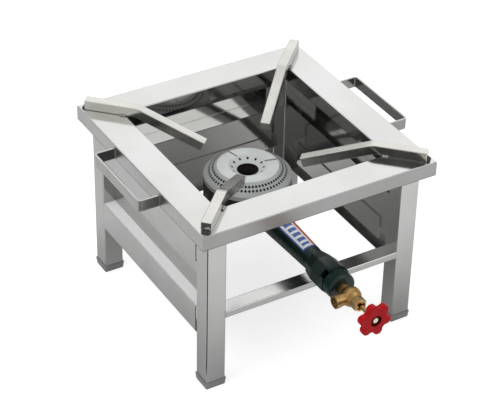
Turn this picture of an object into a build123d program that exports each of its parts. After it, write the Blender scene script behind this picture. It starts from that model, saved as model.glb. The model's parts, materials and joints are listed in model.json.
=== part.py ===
from build123d import *
from math import cos, radians, sin, tan
import os

# Stock pot range: a low square stand in polished sheet steel with one gas ring.
# Axes: +Z is up, the valve and its handwheel face -Y, the carrying handles stand out at -X and +X.
# Sizes are millimetres. Every size and place below counts from the floor under the centre of the
# stand; save() then sets each piece back along Y, so that the origin of the finished range is on the
# floor under its middle, half way between the front of the handwheel and the back of the stand.

os.makedirs("parts", exist_ok=True)

# --- stand -----------------------------------------------------------------------------------
frame_width = 400.0          # outside of the square top frame
frame_height = 298.0         # floor to the top of the frame
strip_width = 53.0           # flat width of each top strip
skirt_depth = 24.0           # both turned-down edges of a top strip
sheet = 1.2                  # folded sheet steel
fold_radius = 1.8            # outside radius of a fold

leg_width = 32.0
leg_wall = 1.5
leg_corner = 2.2             # outside corner radius of the square tube
leg_face = 183.2             # outer faces of the legs and of the webs, from the centre

rail_flange_height = 218.8   # underside of the upper rails
side_rail_flange = 25.0      # depth of the flange of the left and right upper rail
back_rail_flange = 32.0
panel_face = 163.0           # outer face of the recessed panels
seam_top = 161.0             # strip lapped inside each panel's lower edge
seam_bottom = 120.0
seam_thickness = 2.0
seam_half_length = 121.0

ledge_height = 136.5         # top of the lower stretchers
stretcher_bottom = 88.0
stretcher_lip = 15.0
web_gap = 1.8                # open slot between the front end of a side web and the front leg
front_stretcher_depth = 26.0
front_stretcher_lip = 11.0

# --- foot caps -------------------------------------------------------------------------------
cap_height = 11.0
cap_floor = 3.0
cap_top_width = 35.6
cap_taper = 8.5              # degrees

# --- handles ---------------------------------------------------------------------------------
handle_length = 145.0
handle_reach = 35.0          # from the skirt to the outside of the handle
handle_strip = 3.0
handle_strip_height = 18.0
handle_bottom = 275.5
handle_bend = 6.0
weld_leg = 2.2

# --- pot supports ----------------------------------------------------------------------------
bar = 16.0                   # square bar
bar_edge = 1.2
support_outer = 268.0        # distances from the centre, along the diagonal
support_bend = 184.0
support_tip = 75.0
support_slope = 22.0         # degrees below level
support_bend_radius = 34.0

# --- burner ----------------------------------------------------------------------------------
burner_y = 14.4              # the ring sits a little behind the centre of the frame
ring_radius = 69.0
cap_rim_height = 216.5       # outer edge of the sloping face
cap_seat = 209.5             # where the cap rests on the body
cap_top = 231.5
plate_outer = 48.2           # flat top ring of the cap
plate_inner = 30.0
cap_shell = 4.5
cap_drop = 5.6               # shell thickness measured straight down through the slope
centre_hole = 16.8
bowl_bottom = 223.0
spigot_radius = 64.2
spigot_depth = 4.0
port_radius = 1.25
port_count = 64
port_rows = (54.4, 60.2)     # radii of the two rows of flame ports
bowl_port_count = 12
bowl_port_circle = 24.5
groove_width = 13.0
groove_depth = 1.8
groove_turns = (225.0, 345.0, 105.0)

body_wall = 4.5
body_bottom = 150.0
body_corner = 7.0
body_floor = 5.0
chimney_wall = 4.5
foot_spread = 36.0           # from the ring's centre to each foot, along X
foot_radius = 9.0
cross_bar_width = 20.0
cross_bar_sheet = 3.0
cross_bar_spread = 22.0      # from the ring's centre to each cross bar, along Y
cross_bar_tab = 14.0         # turned-down ends
bolt_radius = 4.0
bolt_head_flats = 13.0
bolt_head_height = 5.3
bolt_reach = 8.0             # screwed length inside a foot
bolt_hole = 4.5
washer_radius = 8.0
washer_hole = 4.2
washer_thickness = 1.6

# --- mixing tube and mixer -------------------------------------------------------------------
gas_axis_z = 176.0
tube_wall = 3.5
tube_start_y = -42.0         # inside the burner body
tube_start_radius = 22.8
tube_end_y = -200.0
tube_end_radius = 17.2

mixer_back_y = -189.0
mixer_full_y = -207.0
mixer_step_y = -240.0        # the octagon ends here and the round nose begins
mixer_front_y = -262.0
mixer_back_radius = 19.2
mixer_half_flats = 23.0
mixer_nose_radius = 22.3
mixer_nose_edge = 5.5
mixer_end_wall = 8.0
window_y = -236.0
window_length = 10.0
window_width = 13.0

label_start_y = -100.0
label_end_y = -172.0
label_arc = 88.0
label_thickness = 0.4

# --- valve -----------------------------------------------------------------------------------
globe_y = -283.0
globe_radius = 15.5
outlet_radius = 8.0
neck_radius = 10.0
seat_y = -274.0
seat_bore = 3.0
jet_thread_y = -260.0
jet_thread_radius = 4.0
chamber_radius = 6.0
valve_front_y = -296.0
valve_front_radius = 9.0
inlet_reach = 29.0           # from the valve's axis to the mouth of the inlet
inlet_radius = 9.4
inlet_rim_radius = 10.3
inlet_rim_length = 7.0
inlet_bore = 7.5
inlet_bore_length = 12.0
inlet_passage = 4.0

jet_hex_y = -249.0
jet_hex_flats = 11.0
jet_nose_y = -243.0
jet_nose_radius = 2.4
jet_bore = 2.0
jet_orifice = 0.6

bonnet_flats = 19.0
bonnet_front_y = -309.0
bonnet_shank_y = -288.0
bonnet_recess = 7.0
bonnet_recess_y = -304.5
stuffing_radius = 5.4
stuffing_back_y = -299.0
packing_front_y = -301.5
gland_front_y = -306.0
spindle_radius = 3.5
spindle_bore = 3.55
disc_front_y = -277.0
disc_radius = 4.6
disc_stem_radius = 1.6
disc_stem_hole = 1.65
disc_stem_y = -281.0

# --- handwheel -------------------------------------------------------------------------------
wheel_back_y = -338.0
wheel_front_y = -349.0
wheel_edge = 2.2
hub_back_y = -336.0
hub_radius = 7.5
lobe_count = 6
lobe_turn = 45.0             # degrees from +X to the first lobe
lobe_centre = 19.6
lobe_radius = 7.6
wheel_core = 20.5
valley_fillet = 3.0
recess_radius = 9.0
recess_depth = 3.6
square_side = 4.8
screw_head_radius = 4.2
screw_head_height = 2.6
screw_radius = 2.0
screw_length = 9.0
slot_width = 1.0
slot_depth = 1.1

# --- worked out from the sizes above -----------------------------------------------------------
half_width = frame_width / 2
half_opening = half_width - strip_width
skirt_bottom = frame_height - skirt_depth
under_top = frame_height - sheet
leg_centre = leg_face - leg_width / 2
leg_inner_face = leg_face - leg_width
panel_inner_face = panel_face - sheet
seam_inner_face = panel_inner_face - seam_thickness
tube_taper = (tube_start_radius - tube_end_radius) / (tube_start_y - tube_end_y)
mixer_bore_front_y = mixer_front_y + mixer_end_wall
recess_floor_y = wheel_front_y + recess_depth
set_back = -(wheel_front_y + half_width) / 2
turns = {"front": 0.0, "right": 90.0, "back": 180.0, "left": 270.0}
foot_places = [
    (side_x * foot_spread, burner_y + side_y * cross_bar_spread) for side_x in (-1, 1) for side_y in (-1, 1)
]


def tube_radius(y: float) -> float:
    """Outside radius of the tapering mixing tube at y."""
    return tube_end_radius + tube_taper * (y - tube_end_y)


def wall_section(turn: float) -> Plane:
    """Cross-section plane of one side of the stand: the side lies at negative sketch x, y is up."""
    angle = radians(turn)
    return Plane(origin=(0, 0, 0), x_dir=(-sin(angle), cos(angle), 0), z_dir=(cos(angle), sin(angle), 0))


def gas_section(y: float) -> Plane:
    """Plane across the gas line at y, facing the handwheel end, with sketch y up."""
    return Plane(origin=(0, y, gas_axis_z), x_dir=(1, 0, 0), z_dir=(0, -1, 0))


gas_profile = Plane(origin=(0, 0, gas_axis_z), x_dir=(0, 1, 0), z_dir=(1, 0, 0))
gas_axis = Axis((0, 0, gas_axis_z), (0, -1, 0))
ring_profile = Plane(origin=(0, burner_y, 0), x_dir=(1, 0, 0), z_dir=(0, -1, 0))
ring_axis = Axis((0, burner_y, 0), (0, 0, 1))


def save(piece: Part, name: str) -> None:
    """Set one finished piece back over the origin, label it and write it."""
    placed = piece.moved(Location((0, set_back, 0)))
    placed.label = name
    export_step(placed, f"parts/{name}.step")


# --- top frame: four mitred channel strips ------------------------------------------------------
def top_strip(turn: float) -> Part:
    """One strip of the top frame, with a turned-down edge on both sides and mitred ends."""
    with BuildPart() as strip:
        with BuildSketch(wall_section(turn)):
            with BuildLine():
                outside = FilletPolyline(
                    (-half_width, skirt_bottom),
                    (-half_width, frame_height),
                    (-half_opening, frame_height),
                    (-half_opening, skirt_bottom),
                    radius=fold_radius,
                )
                offset(outside, amount=sheet, side=Side.RIGHT)
            make_face()
        extrude(amount=half_width, both=True)
        with BuildSketch(Plane.XY.rotated((0, 0, turn)).offset(skirt_bottom)):
            with BuildLine():
                Polyline(
                    (-half_width, -half_width),
                    (half_width, -half_width),
                    (half_opening, -half_opening),
                    (-half_opening, -half_opening),
                    close=True,
                )
            make_face()
        extrude(amount=skirt_depth, mode=Mode.INTERSECT)
    return strip.part


for side, turn in turns.items():
    save(top_strip(turn), f"top_strip_{side}")


# --- legs and their foot caps --------------------------------------------------------------------
def leg(side_x: int, side_y: int) -> Part:
    """A square tube that stands in a foot cap and is welded under the top frame."""
    with BuildPart() as tube:
        with BuildSketch(Plane.XY.offset(cap_floor)):
            with Locations((side_x * leg_centre, side_y * leg_centre)):
                RectangleRounded(leg_width, leg_width, leg_corner)
                RectangleRounded(
                    leg_width - 2 * leg_wall,
                    leg_width - 2 * leg_wall,
                    leg_corner - leg_wall,
                    mode=Mode.SUBTRACT,
                )
        extrude(amount=under_top - cap_floor)
    return tube.part


def foot_cap(side_x: int, side_y: int) -> Part:
    """A plastic cap that the leg is pressed into, narrowing towards the floor."""
    with BuildPart() as cap:
        with BuildSketch(Plane(origin=(0, 0, cap_height), x_dir=(1, 0, 0), z_dir=(0, 0, -1))):
            with Locations((side_x * leg_centre, -side_y * leg_centre)):
                RectangleRounded(cap_top_width, cap_top_width, leg_corner + 1.0)
        extrude(amount=cap_height, taper=cap_taper)
        with BuildSketch(Plane.XY.offset(cap_floor)):
            with Locations((side_x * leg_centre, side_y * leg_centre)):
                RectangleRounded(leg_width, leg_width, leg_corner)
        extrude(amount=cap_height, mode=Mode.SUBTRACT)
    return cap.part


for end, side_y in (("front", -1), ("back", 1)):
    for side, side_x in (("left", -1), ("right", 1)):
        save(leg(side_x, side_y), f"leg_{end}_{side}")
        save(foot_cap(side_x, side_y), f"foot_cap_{end}_{side}")


# --- walls: upper rail, recessed panel, seam strip and lower stretcher -----------------------------
def folded_rail(turn: float, points: list, web_low: float, web_high: float) -> Part:
    """A folded channel between two legs; on the side walls an open slot parts its web from the front leg."""
    front_end = -round(sin(radians(turn)))
    with BuildPart() as rail:
        with BuildSketch(wall_section(turn)):
            with BuildLine():
                outside = FilletPolyline(*points, radius=fold_radius)
                offset(outside, amount=sheet, side=Side.LEFT)
            make_face()
        extrude(amount=leg_inner_face, both=True)
        if front_end:
            with BuildSketch(wall_section(turn).offset(front_end * (leg_inner_face - web_gap / 2))):
                with Locations((-leg_face, (web_low + web_high) / 2)):
                    Rectangle(2 * fold_radius, web_high - web_low)
            extrude(amount=web_gap / 2, both=True, mode=Mode.SUBTRACT)
    return rail.part


def upper_rail(turn: float, flange: float) -> Part:
    """Web flush with the legs' outer faces, with a flange turned inwards at its lower edge."""
    points = [
        (-leg_face, under_top),
        (-leg_face, rail_flange_height),
        (-leg_face + flange, rail_flange_height),
    ]
    return folded_rail(turn, points, rail_flange_height, under_top)


def stretcher(turn: float) -> Part:
    """Lower channel: ledge on top, web flush with the legs, short lip turned in below."""
    points = [
        (-panel_inner_face, ledge_height),
        (-leg_face, ledge_height),
        (-leg_face, stretcher_bottom),
        (-leg_face + stretcher_lip, stretcher_bottom),
    ]
    return folded_rail(turn, points, stretcher_bottom, ledge_height)


def panel(turn: float) -> Part:
    """Flat wall sheet, set back from the legs' outer faces, from the ledge up to the rail."""
    with BuildPart() as wall:
        with BuildSketch(wall_section(turn)):
            with Locations((-panel_face + sheet / 2, (ledge_height + rail_flange_height) / 2)):
                Rectangle(sheet, rail_flange_height - ledge_height)
        extrude(amount=leg_inner_face, both=True)
    return wall.part


def panel_seam(turn: float) -> Part:
    """Strip lapped on the inside of a panel's lower edge and of the ledge below it."""
    with BuildPart() as strip:
        with BuildSketch(wall_section(turn)):
            with Locations((-panel_inner_face + seam_thickness / 2, (seam_bottom + seam_top) / 2)):
                Rectangle(seam_thickness, seam_top - seam_bottom)
        extrude(amount=seam_half_length, both=True)
    return strip.part


for side in ("left", "right", "back"):
    rail_flange = back_rail_flange if side == "back" else side_rail_flange
    save(upper_rail(turns[side], rail_flange), f"upper_rail_{side}")
    save(panel(turns[side]), f"panel_{side}")
    save(panel_seam(turns[side]), f"panel_seam_{side}")
    save(stretcher(turns[side]), f"stretcher_{side}")

with BuildPart() as stretcher_front:
    with BuildSketch(wall_section(turns["front"])):
        with BuildLine():
            front_section = FilletPolyline(
                (-leg_face, ledge_height - front_stretcher_lip),
                (-leg_face, ledge_height),
                (-leg_face + front_stretcher_depth, ledge_height),
                (-leg_face + front_stretcher_depth, ledge_height - front_stretcher_lip),
                radius=fold_radius,
            )
            offset(front_section, amount=sheet, side=Side.RIGHT)
        make_face()
    extrude(amount=leg_inner_face, both=True)
save(stretcher_front.part, "stretcher_front")


# --- carrying handles ------------------------------------------------------------------------------
def handle(side_x: int) -> Part:
    """Flat strip bent to a U and welded by its ends to the skirt."""
    with BuildPart() as strip:
        with BuildSketch(Plane.XY.offset(handle_bottom)):
            with BuildLine():
                outside = FilletPolyline(
                    (side_x * half_width, -side_x * handle_length / 2),
                    (side_x * (half_width + handle_reach), -side_x * handle_length / 2),
                    (side_x * (half_width + handle_reach), side_x * handle_length / 2),
                    (side_x * half_width, side_x * handle_length / 2),
                    radius=handle_bend,
                )
                offset(outside, amount=handle_strip, side=Side.LEFT)
            make_face()
        extrude(amount=handle_strip_height)
    return strip.part


save(handle(-1), "handle_left")
save(handle(1), "handle_right")

with BuildPart() as handle_welds:
    with BuildSketch(Plane.XY.offset(handle_bottom)):
        for side_x in (-1, 1):
            for side_y in (-1, 1):
                for strip_face, away in ((handle_length / 2, 1), (handle_length / 2 - handle_strip, -1)):
                    with BuildLine():
                        Polyline(
                            (side_x * half_width, side_y * strip_face),
                            (side_x * (half_width + weld_leg), side_y * strip_face),
                            (side_x * half_width, side_y * (strip_face + away * weld_leg)),
                            close=True,
                        )
                    make_face()
    extrude(amount=handle_strip_height)
save(handle_welds.part, "handle_welds")


# --- pot supports ------------------------------------------------------------------------------------
def pot_support(turn: float) -> Part:
    """Square bar lying on a frame corner, bent down towards the burner at its inner end."""
    out = radians(turn)
    upright = Plane(origin=(0, 0, 0), x_dir=(cos(out), sin(out), 0), z_dir=(sin(out), -cos(out), 0))
    drop = (support_bend - support_tip) * tan(radians(support_slope))
    with BuildPart() as bent:
        with BuildSketch(upright):
            with BuildLine():
                top_edge = FilletPolyline(
                    (support_outer, frame_height + bar),
                    (support_bend, frame_height + bar),
                    (support_tip, frame_height + bar - drop),
                    radius=support_bend_radius,
                )
                offset(top_edge, amount=bar, side=Side.LEFT)
            make_face()
        extrude(amount=bar / 2, both=True)
        fillet(bent.faces().filter_by(Axis((0, 0, 0), upright.z_dir)).edges(), bar_edge)
    return bent.part


for corner, turn in (("front_left", 225.0), ("front_right", 315.0), ("back_left", 135.0), ("back_right", 45.0)):
    save(pot_support(turn), f"pot_support_{corner}")


# --- cross bars and bolts that carry the burner -----------------------------------------------------
def cross_bar(side_y: int) -> Part:
    """Flat bar across the stand, its ends turned down against the strips on both side walls."""
    bar_y = burner_y + side_y * cross_bar_spread
    with BuildPart() as flat:
        with BuildSketch(Plane(origin=(0, bar_y, 0), x_dir=(1, 0, 0), z_dir=(0, -1, 0))):
            with BuildLine():
                outside = FilletPolyline(
                    (-seam_inner_face, ledge_height + cross_bar_sheet - cross_bar_tab),
                    (-seam_inner_face, ledge_height + cross_bar_sheet),
                    (seam_inner_face, ledge_height + cross_bar_sheet),
                    (seam_inner_face, ledge_height + cross_bar_sheet - cross_bar_tab),
                    radius=cross_bar_sheet + 1.0,
                )
                offset(outside, amount=cross_bar_sheet, side=Side.RIGHT)
            make_face()
        extrude(amount=cross_bar_width / 2, both=True)
        with BuildSketch(Plane.XY.offset(ledge_height)):
            with Locations((-foot_spread, bar_y), (foot_spread, bar_y)):
                Circle(bolt_hole)
        extrude(amount=cross_bar_sheet, mode=Mode.SUBTRACT)
    return flat.part


save(cross_bar(-1), "cross_bar_front")
save(cross_bar(1), "cross_bar_back")

with BuildPart() as burner_bolts:
    with BuildSketch(Plane.XY.offset(ledge_height - washer_thickness - bolt_head_height)):
        with Locations(*foot_places):
            RegularPolygon(bolt_head_flats / 2, 6, major_radius=False)
    extrude(amount=bolt_head_height)
    with BuildSketch(Plane.XY.offset(ledge_height - washer_thickness)):
        with Locations(*foot_places):
            Circle(bolt_radius)
    extrude(amount=washer_thickness + cross_bar_sheet + bolt_reach)
save(burner_bolts.part, "burner_bolts")

with BuildPart() as burner_washers:
    with BuildSketch(Plane.XY.offset(ledge_height - washer_thickness)):
        with Locations(*foot_places):
            Circle(washer_radius)
            Circle(washer_hole, mode=Mode.SUBTRACT)
    extrude(amount=washer_thickness)
save(burner_washers.part, "burner_washers")

# --- burner body: a round cast pan with a chimney through its middle ---------------------------------
with BuildPart() as burner_body:
    with BuildSketch(ring_profile):
        with BuildLine():
            Polyline(
                (centre_hole, body_bottom),
                (ring_radius - body_corner, body_bottom),
                (ring_radius, body_bottom + body_corner),
                (ring_radius, cap_seat),
                (ring_radius - body_wall, cap_seat),
                (ring_radius - body_wall, body_bottom + body_corner),
                (ring_radius - body_corner, body_bottom + body_floor),
                (centre_hole + chimney_wall, body_bottom + body_floor),
                (centre_hole + chimney_wall, bowl_bottom - cap_shell),
                (centre_hole, bowl_bottom - cap_shell),
                close=True,
            )
        make_face()
    revolve(axis=ring_axis)
    with BuildSketch(Plane.XY.offset(ledge_height + cross_bar_sheet)):
        with Locations(*foot_places):
            Circle(foot_radius)
    extrude(amount=body_bottom + body_floor - ledge_height - cross_bar_sheet)
    with BuildSketch(Plane.XY.offset(ledge_height + cross_bar_sheet)):
        with Locations(*foot_places):
            Circle(bolt_radius)
    extrude(amount=bolt_reach, mode=Mode.SUBTRACT)
    with BuildSketch(gas_profile):
        with BuildLine():
            Polyline(
                (tube_start_y, 0),
                (tube_start_y, tube_start_radius),
                (-ring_radius, tube_radius(-ring_radius)),
                (-ring_radius, 0),
                close=True,
            )
        make_face()
    revolve(axis=gas_axis, mode=Mode.SUBTRACT)
save(burner_body.part, "burner_body")

# --- burner cap: two rows of flame ports round a dished centre ----------------------------------------
with BuildPart() as burner_cap:
    with BuildSketch(ring_profile):
        with BuildLine():
            Polyline(
                (centre_hole, bowl_bottom),
                (plate_inner, cap_top),
                (plate_outer, cap_top),
                (ring_radius, cap_rim_height),
                (ring_radius, cap_seat),
                (spigot_radius, cap_seat),
                (spigot_radius, cap_seat - spigot_depth),
                (spigot_radius - cap_shell, cap_seat - spigot_depth),
                (spigot_radius - cap_shell, cap_rim_height + cap_drop - cap_shell),
                (plate_outer - cap_shell / 2, cap_top - cap_shell),
                (plate_inner + cap_shell / 2, cap_top - cap_shell),
                (centre_hole + chimney_wall, bowl_bottom - cap_shell),
                (centre_hole, bowl_bottom - cap_shell),
                close=True,
            )
        make_face()
    revolve(axis=ring_axis)
    with BuildSketch(Plane.XY.offset(cap_seat)):
        with Locations((0, burner_y)):
            for row_radius in port_rows:
                with PolarLocations(row_radius, port_count):
                    Circle(port_radius)
            with PolarLocations(bowl_port_circle, bowl_port_count):
                Circle(port_radius)
    extrude(amount=cap_top - cap_seat, mode=Mode.SUBTRACT)
    with BuildSketch(Plane.XY.offset(cap_top - groove_depth)):
        for groove_turn in groove_turns:
            with Locations(Location((0, burner_y), groove_turn)):
                with Locations((ring_radius / 2, 0)):
                    Rectangle(ring_radius, groove_width)
    extrude(amount=groove_depth, mode=Mode.SUBTRACT)
save(burner_cap.part, "burner_cap")

# --- mixing tube and its plain label -----------------------------------------------------------------
with BuildPart() as mixing_tube:
    with BuildSketch(gas_profile):
        with BuildLine():
            Polyline(
                (tube_start_y, tube_start_radius - tube_wall),
                (tube_start_y, tube_start_radius),
                (tube_end_y, tube_end_radius),
                (tube_end_y, tube_end_radius - tube_wall),
                close=True,
            )
        make_face()
    revolve(axis=gas_axis)
save(mixing_tube.part, "mixing_tube")

label_side = Plane(
    origin=(0, 0, gas_axis_z),
    x_dir=(0, 1, 0),
    z_dir=(cos(radians(label_arc / 2)), 0, -sin(radians(label_arc / 2))),
)
with BuildPart() as tube_label:
    with BuildSketch(label_side):
        with BuildLine():
            Polyline(
                (label_start_y, tube_radius(label_start_y)),
                (label_start_y, tube_radius(label_start_y) + label_thickness),
                (label_end_y, tube_radius(label_end_y) + label_thickness),
                (label_end_y, tube_radius(label_end_y)),
                close=True,
            )
        make_face()
    revolve(axis=gas_axis, revolution_arc=label_arc)
save(tube_label.part, "tube_label")

# --- air mixer: octagonal casting with a round nose and two air windows -------------------------------
with BuildPart() as air_mixer:
    with BuildSketch(gas_section(mixer_back_y)):
        RegularPolygon(mixer_back_radius, 8, major_radius=False, rotation=22.5)
    with BuildSketch(gas_section(mixer_full_y)):
        RegularPolygon(mixer_half_flats, 8, major_radius=False, rotation=22.5)
    loft()
    with BuildSketch(gas_section(mixer_full_y)):
        RegularPolygon(mixer_half_flats, 8, major_radius=False, rotation=22.5)
    extrude(amount=mixer_full_y - mixer_step_y)
    with BuildSketch(gas_section(mixer_step_y)):
        Circle(mixer_nose_radius)
    extrude(amount=mixer_step_y - mixer_front_y)
    nose_edge = air_mixer.edges().filter_by(GeomType.CIRCLE).sort_by(Axis.Y)[0]
    fillet(nose_edge, mixer_nose_edge)
    with BuildSketch(gas_profile):
        with BuildLine():
            Polyline(
                (mixer_back_y, 0),
                (mixer_back_y, tube_radius(mixer_back_y)),
                (tube_end_y, tube_end_radius),
                (mixer_bore_front_y, tube_end_radius),
                (mixer_bore_front_y, outlet_radius),
                (mixer_front_y, outlet_radius),
                (mixer_front_y, 0),
                close=True,
            )
        make_face()
    revolve(axis=gas_axis, mode=Mode.SUBTRACT)
    for side_x in (-1, 1):
        with BuildSketch(Plane(origin=(0, window_y, gas_axis_z), x_dir=(0, 1, 0), z_dir=(side_x, 0, 1))):
            Rectangle(window_length, window_width)
        extrude(amount=mixer_half_flats + 1, mode=Mode.SUBTRACT)
save(air_mixer.part, "air_mixer")

# --- gas jet ------------------------------------------------------------------------------------------
with BuildPart() as gas_jet:
    with BuildSketch(gas_section(mixer_bore_front_y)):
        Circle(jet_thread_radius)
    extrude(amount=mixer_bore_front_y - jet_thread_y)
    with BuildSketch(gas_section(jet_hex_y)):
        RegularPolygon(jet_hex_flats / 2, 6, major_radius=False)
    extrude(amount=jet_hex_y - mixer_bore_front_y)
    with BuildSketch(gas_profile):
        with BuildLine():
            Polyline(
                (jet_hex_y, 0),
                (jet_hex_y, jet_hex_flats / 2 - 0.8),
                (jet_nose_y, jet_nose_radius),
                (jet_nose_y, 0),
                close=True,
            )
        make_face()
    revolve(axis=gas_axis)
    with BuildSketch(gas_section(jet_nose_y - 2.5)):
        Circle(jet_bore)
    extrude(amount=jet_nose_y - 2.5 - jet_thread_y, mode=Mode.SUBTRACT)
    with BuildSketch(gas_section(jet_nose_y)):
        Circle(jet_orifice)
    extrude(amount=jet_nose_y - jet_thread_y, mode=Mode.SUBTRACT)
save(gas_jet.part, "gas_jet")

# --- valve body: globe with a side inlet, screwed into the mixer's nose -------------------------------
inlet_plane = Plane(origin=(0, globe_y, gas_axis_z), x_dir=(0, 1, 0), z_dir=(-1, 0, 0))
with BuildPart() as valve_body:
    with BuildSketch(gas_section(mixer_bore_front_y)):
        Circle(outlet_radius)
    extrude(amount=mixer_bore_front_y - globe_y)
    with BuildSketch(gas_section(mixer_front_y)):
        Circle(neck_radius)
    extrude(amount=mixer_front_y - globe_y)
    with Locations((0, globe_y, gas_axis_z)):
        Sphere(globe_radius)
    with BuildSketch(gas_section(globe_y)):
        Circle(valve_front_radius)
    extrude(amount=globe_y - valve_front_y)
    with BuildSketch(inlet_plane):
        Circle(inlet_radius)
    extrude(amount=inlet_reach)
    with BuildSketch(inlet_plane.offset(inlet_reach - inlet_rim_length)):
        Circle(inlet_rim_radius)
    extrude(amount=inlet_rim_length)
    with BuildSketch(gas_section(valve_front_y)):
        Circle(globe_radius + 1)
    extrude(amount=globe_radius, mode=Mode.SUBTRACT)
    with BuildSketch(gas_profile):
        with BuildLine():
            Polyline(
                (mixer_bore_front_y, 0),
                (mixer_bore_front_y, jet_thread_radius),
                (jet_thread_y, jet_thread_radius),
                (jet_thread_y, seat_bore),
                (seat_y, seat_bore),
                (seat_y, chamber_radius),
                (valve_front_y, chamber_radius),
                (valve_front_y, 0),
                close=True,
            )
        make_face()
    revolve(axis=gas_axis, mode=Mode.SUBTRACT)
    with BuildSketch(inlet_plane):
        Circle(inlet_passage)
    extrude(amount=inlet_reach, mode=Mode.SUBTRACT)
    with BuildSketch(inlet_plane.offset(inlet_reach - inlet_bore_length)):
        Circle(inlet_bore)
    extrude(amount=inlet_bore_length, mode=Mode.SUBTRACT)
save(valve_body.part, "valve_body")

# --- bonnet, packing and gland ------------------------------------------------------------------------
with BuildPart() as bonnet:
    with BuildSketch(gas_section(valve_front_y)):
        RegularPolygon(bonnet_flats / 2, 6, major_radius=False, rotation=30)
    extrude(amount=valve_front_y - bonnet_front_y)
    chamfer(bonnet.faces().sort_by(Axis.Y)[0].edges(), 1.0)
    with BuildSketch(gas_section(bonnet_shank_y)):
        Circle(chamber_radius)
    extrude(amount=bonnet_shank_y - valve_front_y)
    with BuildSketch(gas_profile):
        with BuildLine():
            Polyline(
                (bonnet_shank_y, 0),
                (bonnet_shank_y, spindle_bore),
                (stuffing_back_y, spindle_bore),
                (stuffing_back_y, stuffing_radius),
                (bonnet_recess_y, stuffing_radius),
                (bonnet_recess_y, bonnet_recess),
                (bonnet_front_y, bonnet_recess),
                (bonnet_front_y, 0),
                close=True,
            )
        make_face()
    revolve(axis=gas_axis, mode=Mode.SUBTRACT)
save(bonnet.part, "bonnet")

with BuildPart() as gland_packing:
    with BuildSketch(gas_section(stuffing_back_y)):
        Circle(stuffing_radius)
        Circle(spindle_bore, mode=Mode.SUBTRACT)
    extrude(amount=stuffing_back_y - packing_front_y)
save(gland_packing.part, "gland_packing")

with BuildPart() as gland_bush:
    with BuildSketch(gas_section(packing_front_y)):
        Circle(stuffing_radius)
        Circle(spindle_bore, mode=Mode.SUBTRACT)
    extrude(amount=packing_front_y - gland_front_y)
save(gland_bush.part, "gland_bush")

# --- valve disc, spindle, handwheel and its screw ----------------------------------------------------
with BuildPart() as valve_disc:
    with BuildSketch(gas_section(seat_y)):
        Circle(disc_radius)
    extrude(amount=seat_y - disc_front_y)
    with BuildSketch(gas_section(disc_front_y)):
        Circle(disc_stem_radius)
    extrude(amount=disc_front_y - disc_stem_y)
save(valve_disc.part, "valve_disc")

with BuildPart() as spindle:
    with BuildSketch(gas_section(disc_front_y)):
        Circle(spindle_radius)
    extrude(amount=disc_front_y - hub_back_y)
    with BuildSketch(gas_section(hub_back_y)):
        Rectangle(square_side, square_side)
    extrude(amount=hub_back_y - recess_floor_y)
    with BuildSketch(gas_section(disc_front_y)):
        Circle(disc_stem_hole)
    extrude(amount=disc_front_y - disc_stem_y + disc_stem_hole, mode=Mode.SUBTRACT)
    with BuildSketch(gas_section(recess_floor_y + screw_length)):
        Circle(screw_radius)
    extrude(amount=screw_length, mode=Mode.SUBTRACT)
save(spindle.part, "spindle")

with BuildPart() as handwheel:
    with BuildSketch(gas_section(wheel_back_y)) as outline:
        Circle(wheel_core)
        with PolarLocations(lobe_centre, lobe_count, start_angle=lobe_turn):
            Circle(lobe_radius)
        fillet(outline.vertices(), valley_fillet)
    extrude(amount=wheel_back_y - wheel_front_y)
    fillet(handwheel.faces().filter_by(Axis.Y).edges(), wheel_edge)
    with BuildSketch(gas_section(hub_back_y)):
        Circle(hub_radius)
    extrude(amount=hub_back_y - wheel_back_y)
    with BuildSketch(gas_section(recess_floor_y)):
        Circle(recess_radius)
    extrude(amount=recess_depth, mode=Mode.SUBTRACT)
    with BuildSketch(gas_section(hub_back_y)):
        Rectangle(square_side, square_side)
    extrude(amount=hub_back_y - recess_floor_y, mode=Mode.SUBTRACT)
save(handwheel.part, "handwheel")

with BuildPart() as handwheel_screw:
    with BuildSketch(gas_section(recess_floor_y)):
        Circle(screw_head_radius)
    extrude(amount=screw_head_height)
    fillet(handwheel_screw.faces().sort_by(Axis.Y)[0].edges(), 0.8)
    with BuildSketch(gas_section(recess_floor_y - screw_head_height + slot_depth)):
        Rectangle(slot_width, 2 * screw_head_radius)
    extrude(amount=slot_depth, mode=Mode.SUBTRACT)
    with BuildSketch(gas_section(recess_floor_y + screw_length)):
        Circle(screw_radius)
    extrude(amount=screw_length)
save(handwheel_screw.part, "handwheel_screw")
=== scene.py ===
"""Looks of a stock pot range: finishes, weld beads, threads, studio and camera round its fixed frame."""

import json
import logging
import math
from dataclasses import dataclass
from enum import Enum
from typing import Any

import bmesh
import bpy
from mathutils import Matrix, Vector


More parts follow.
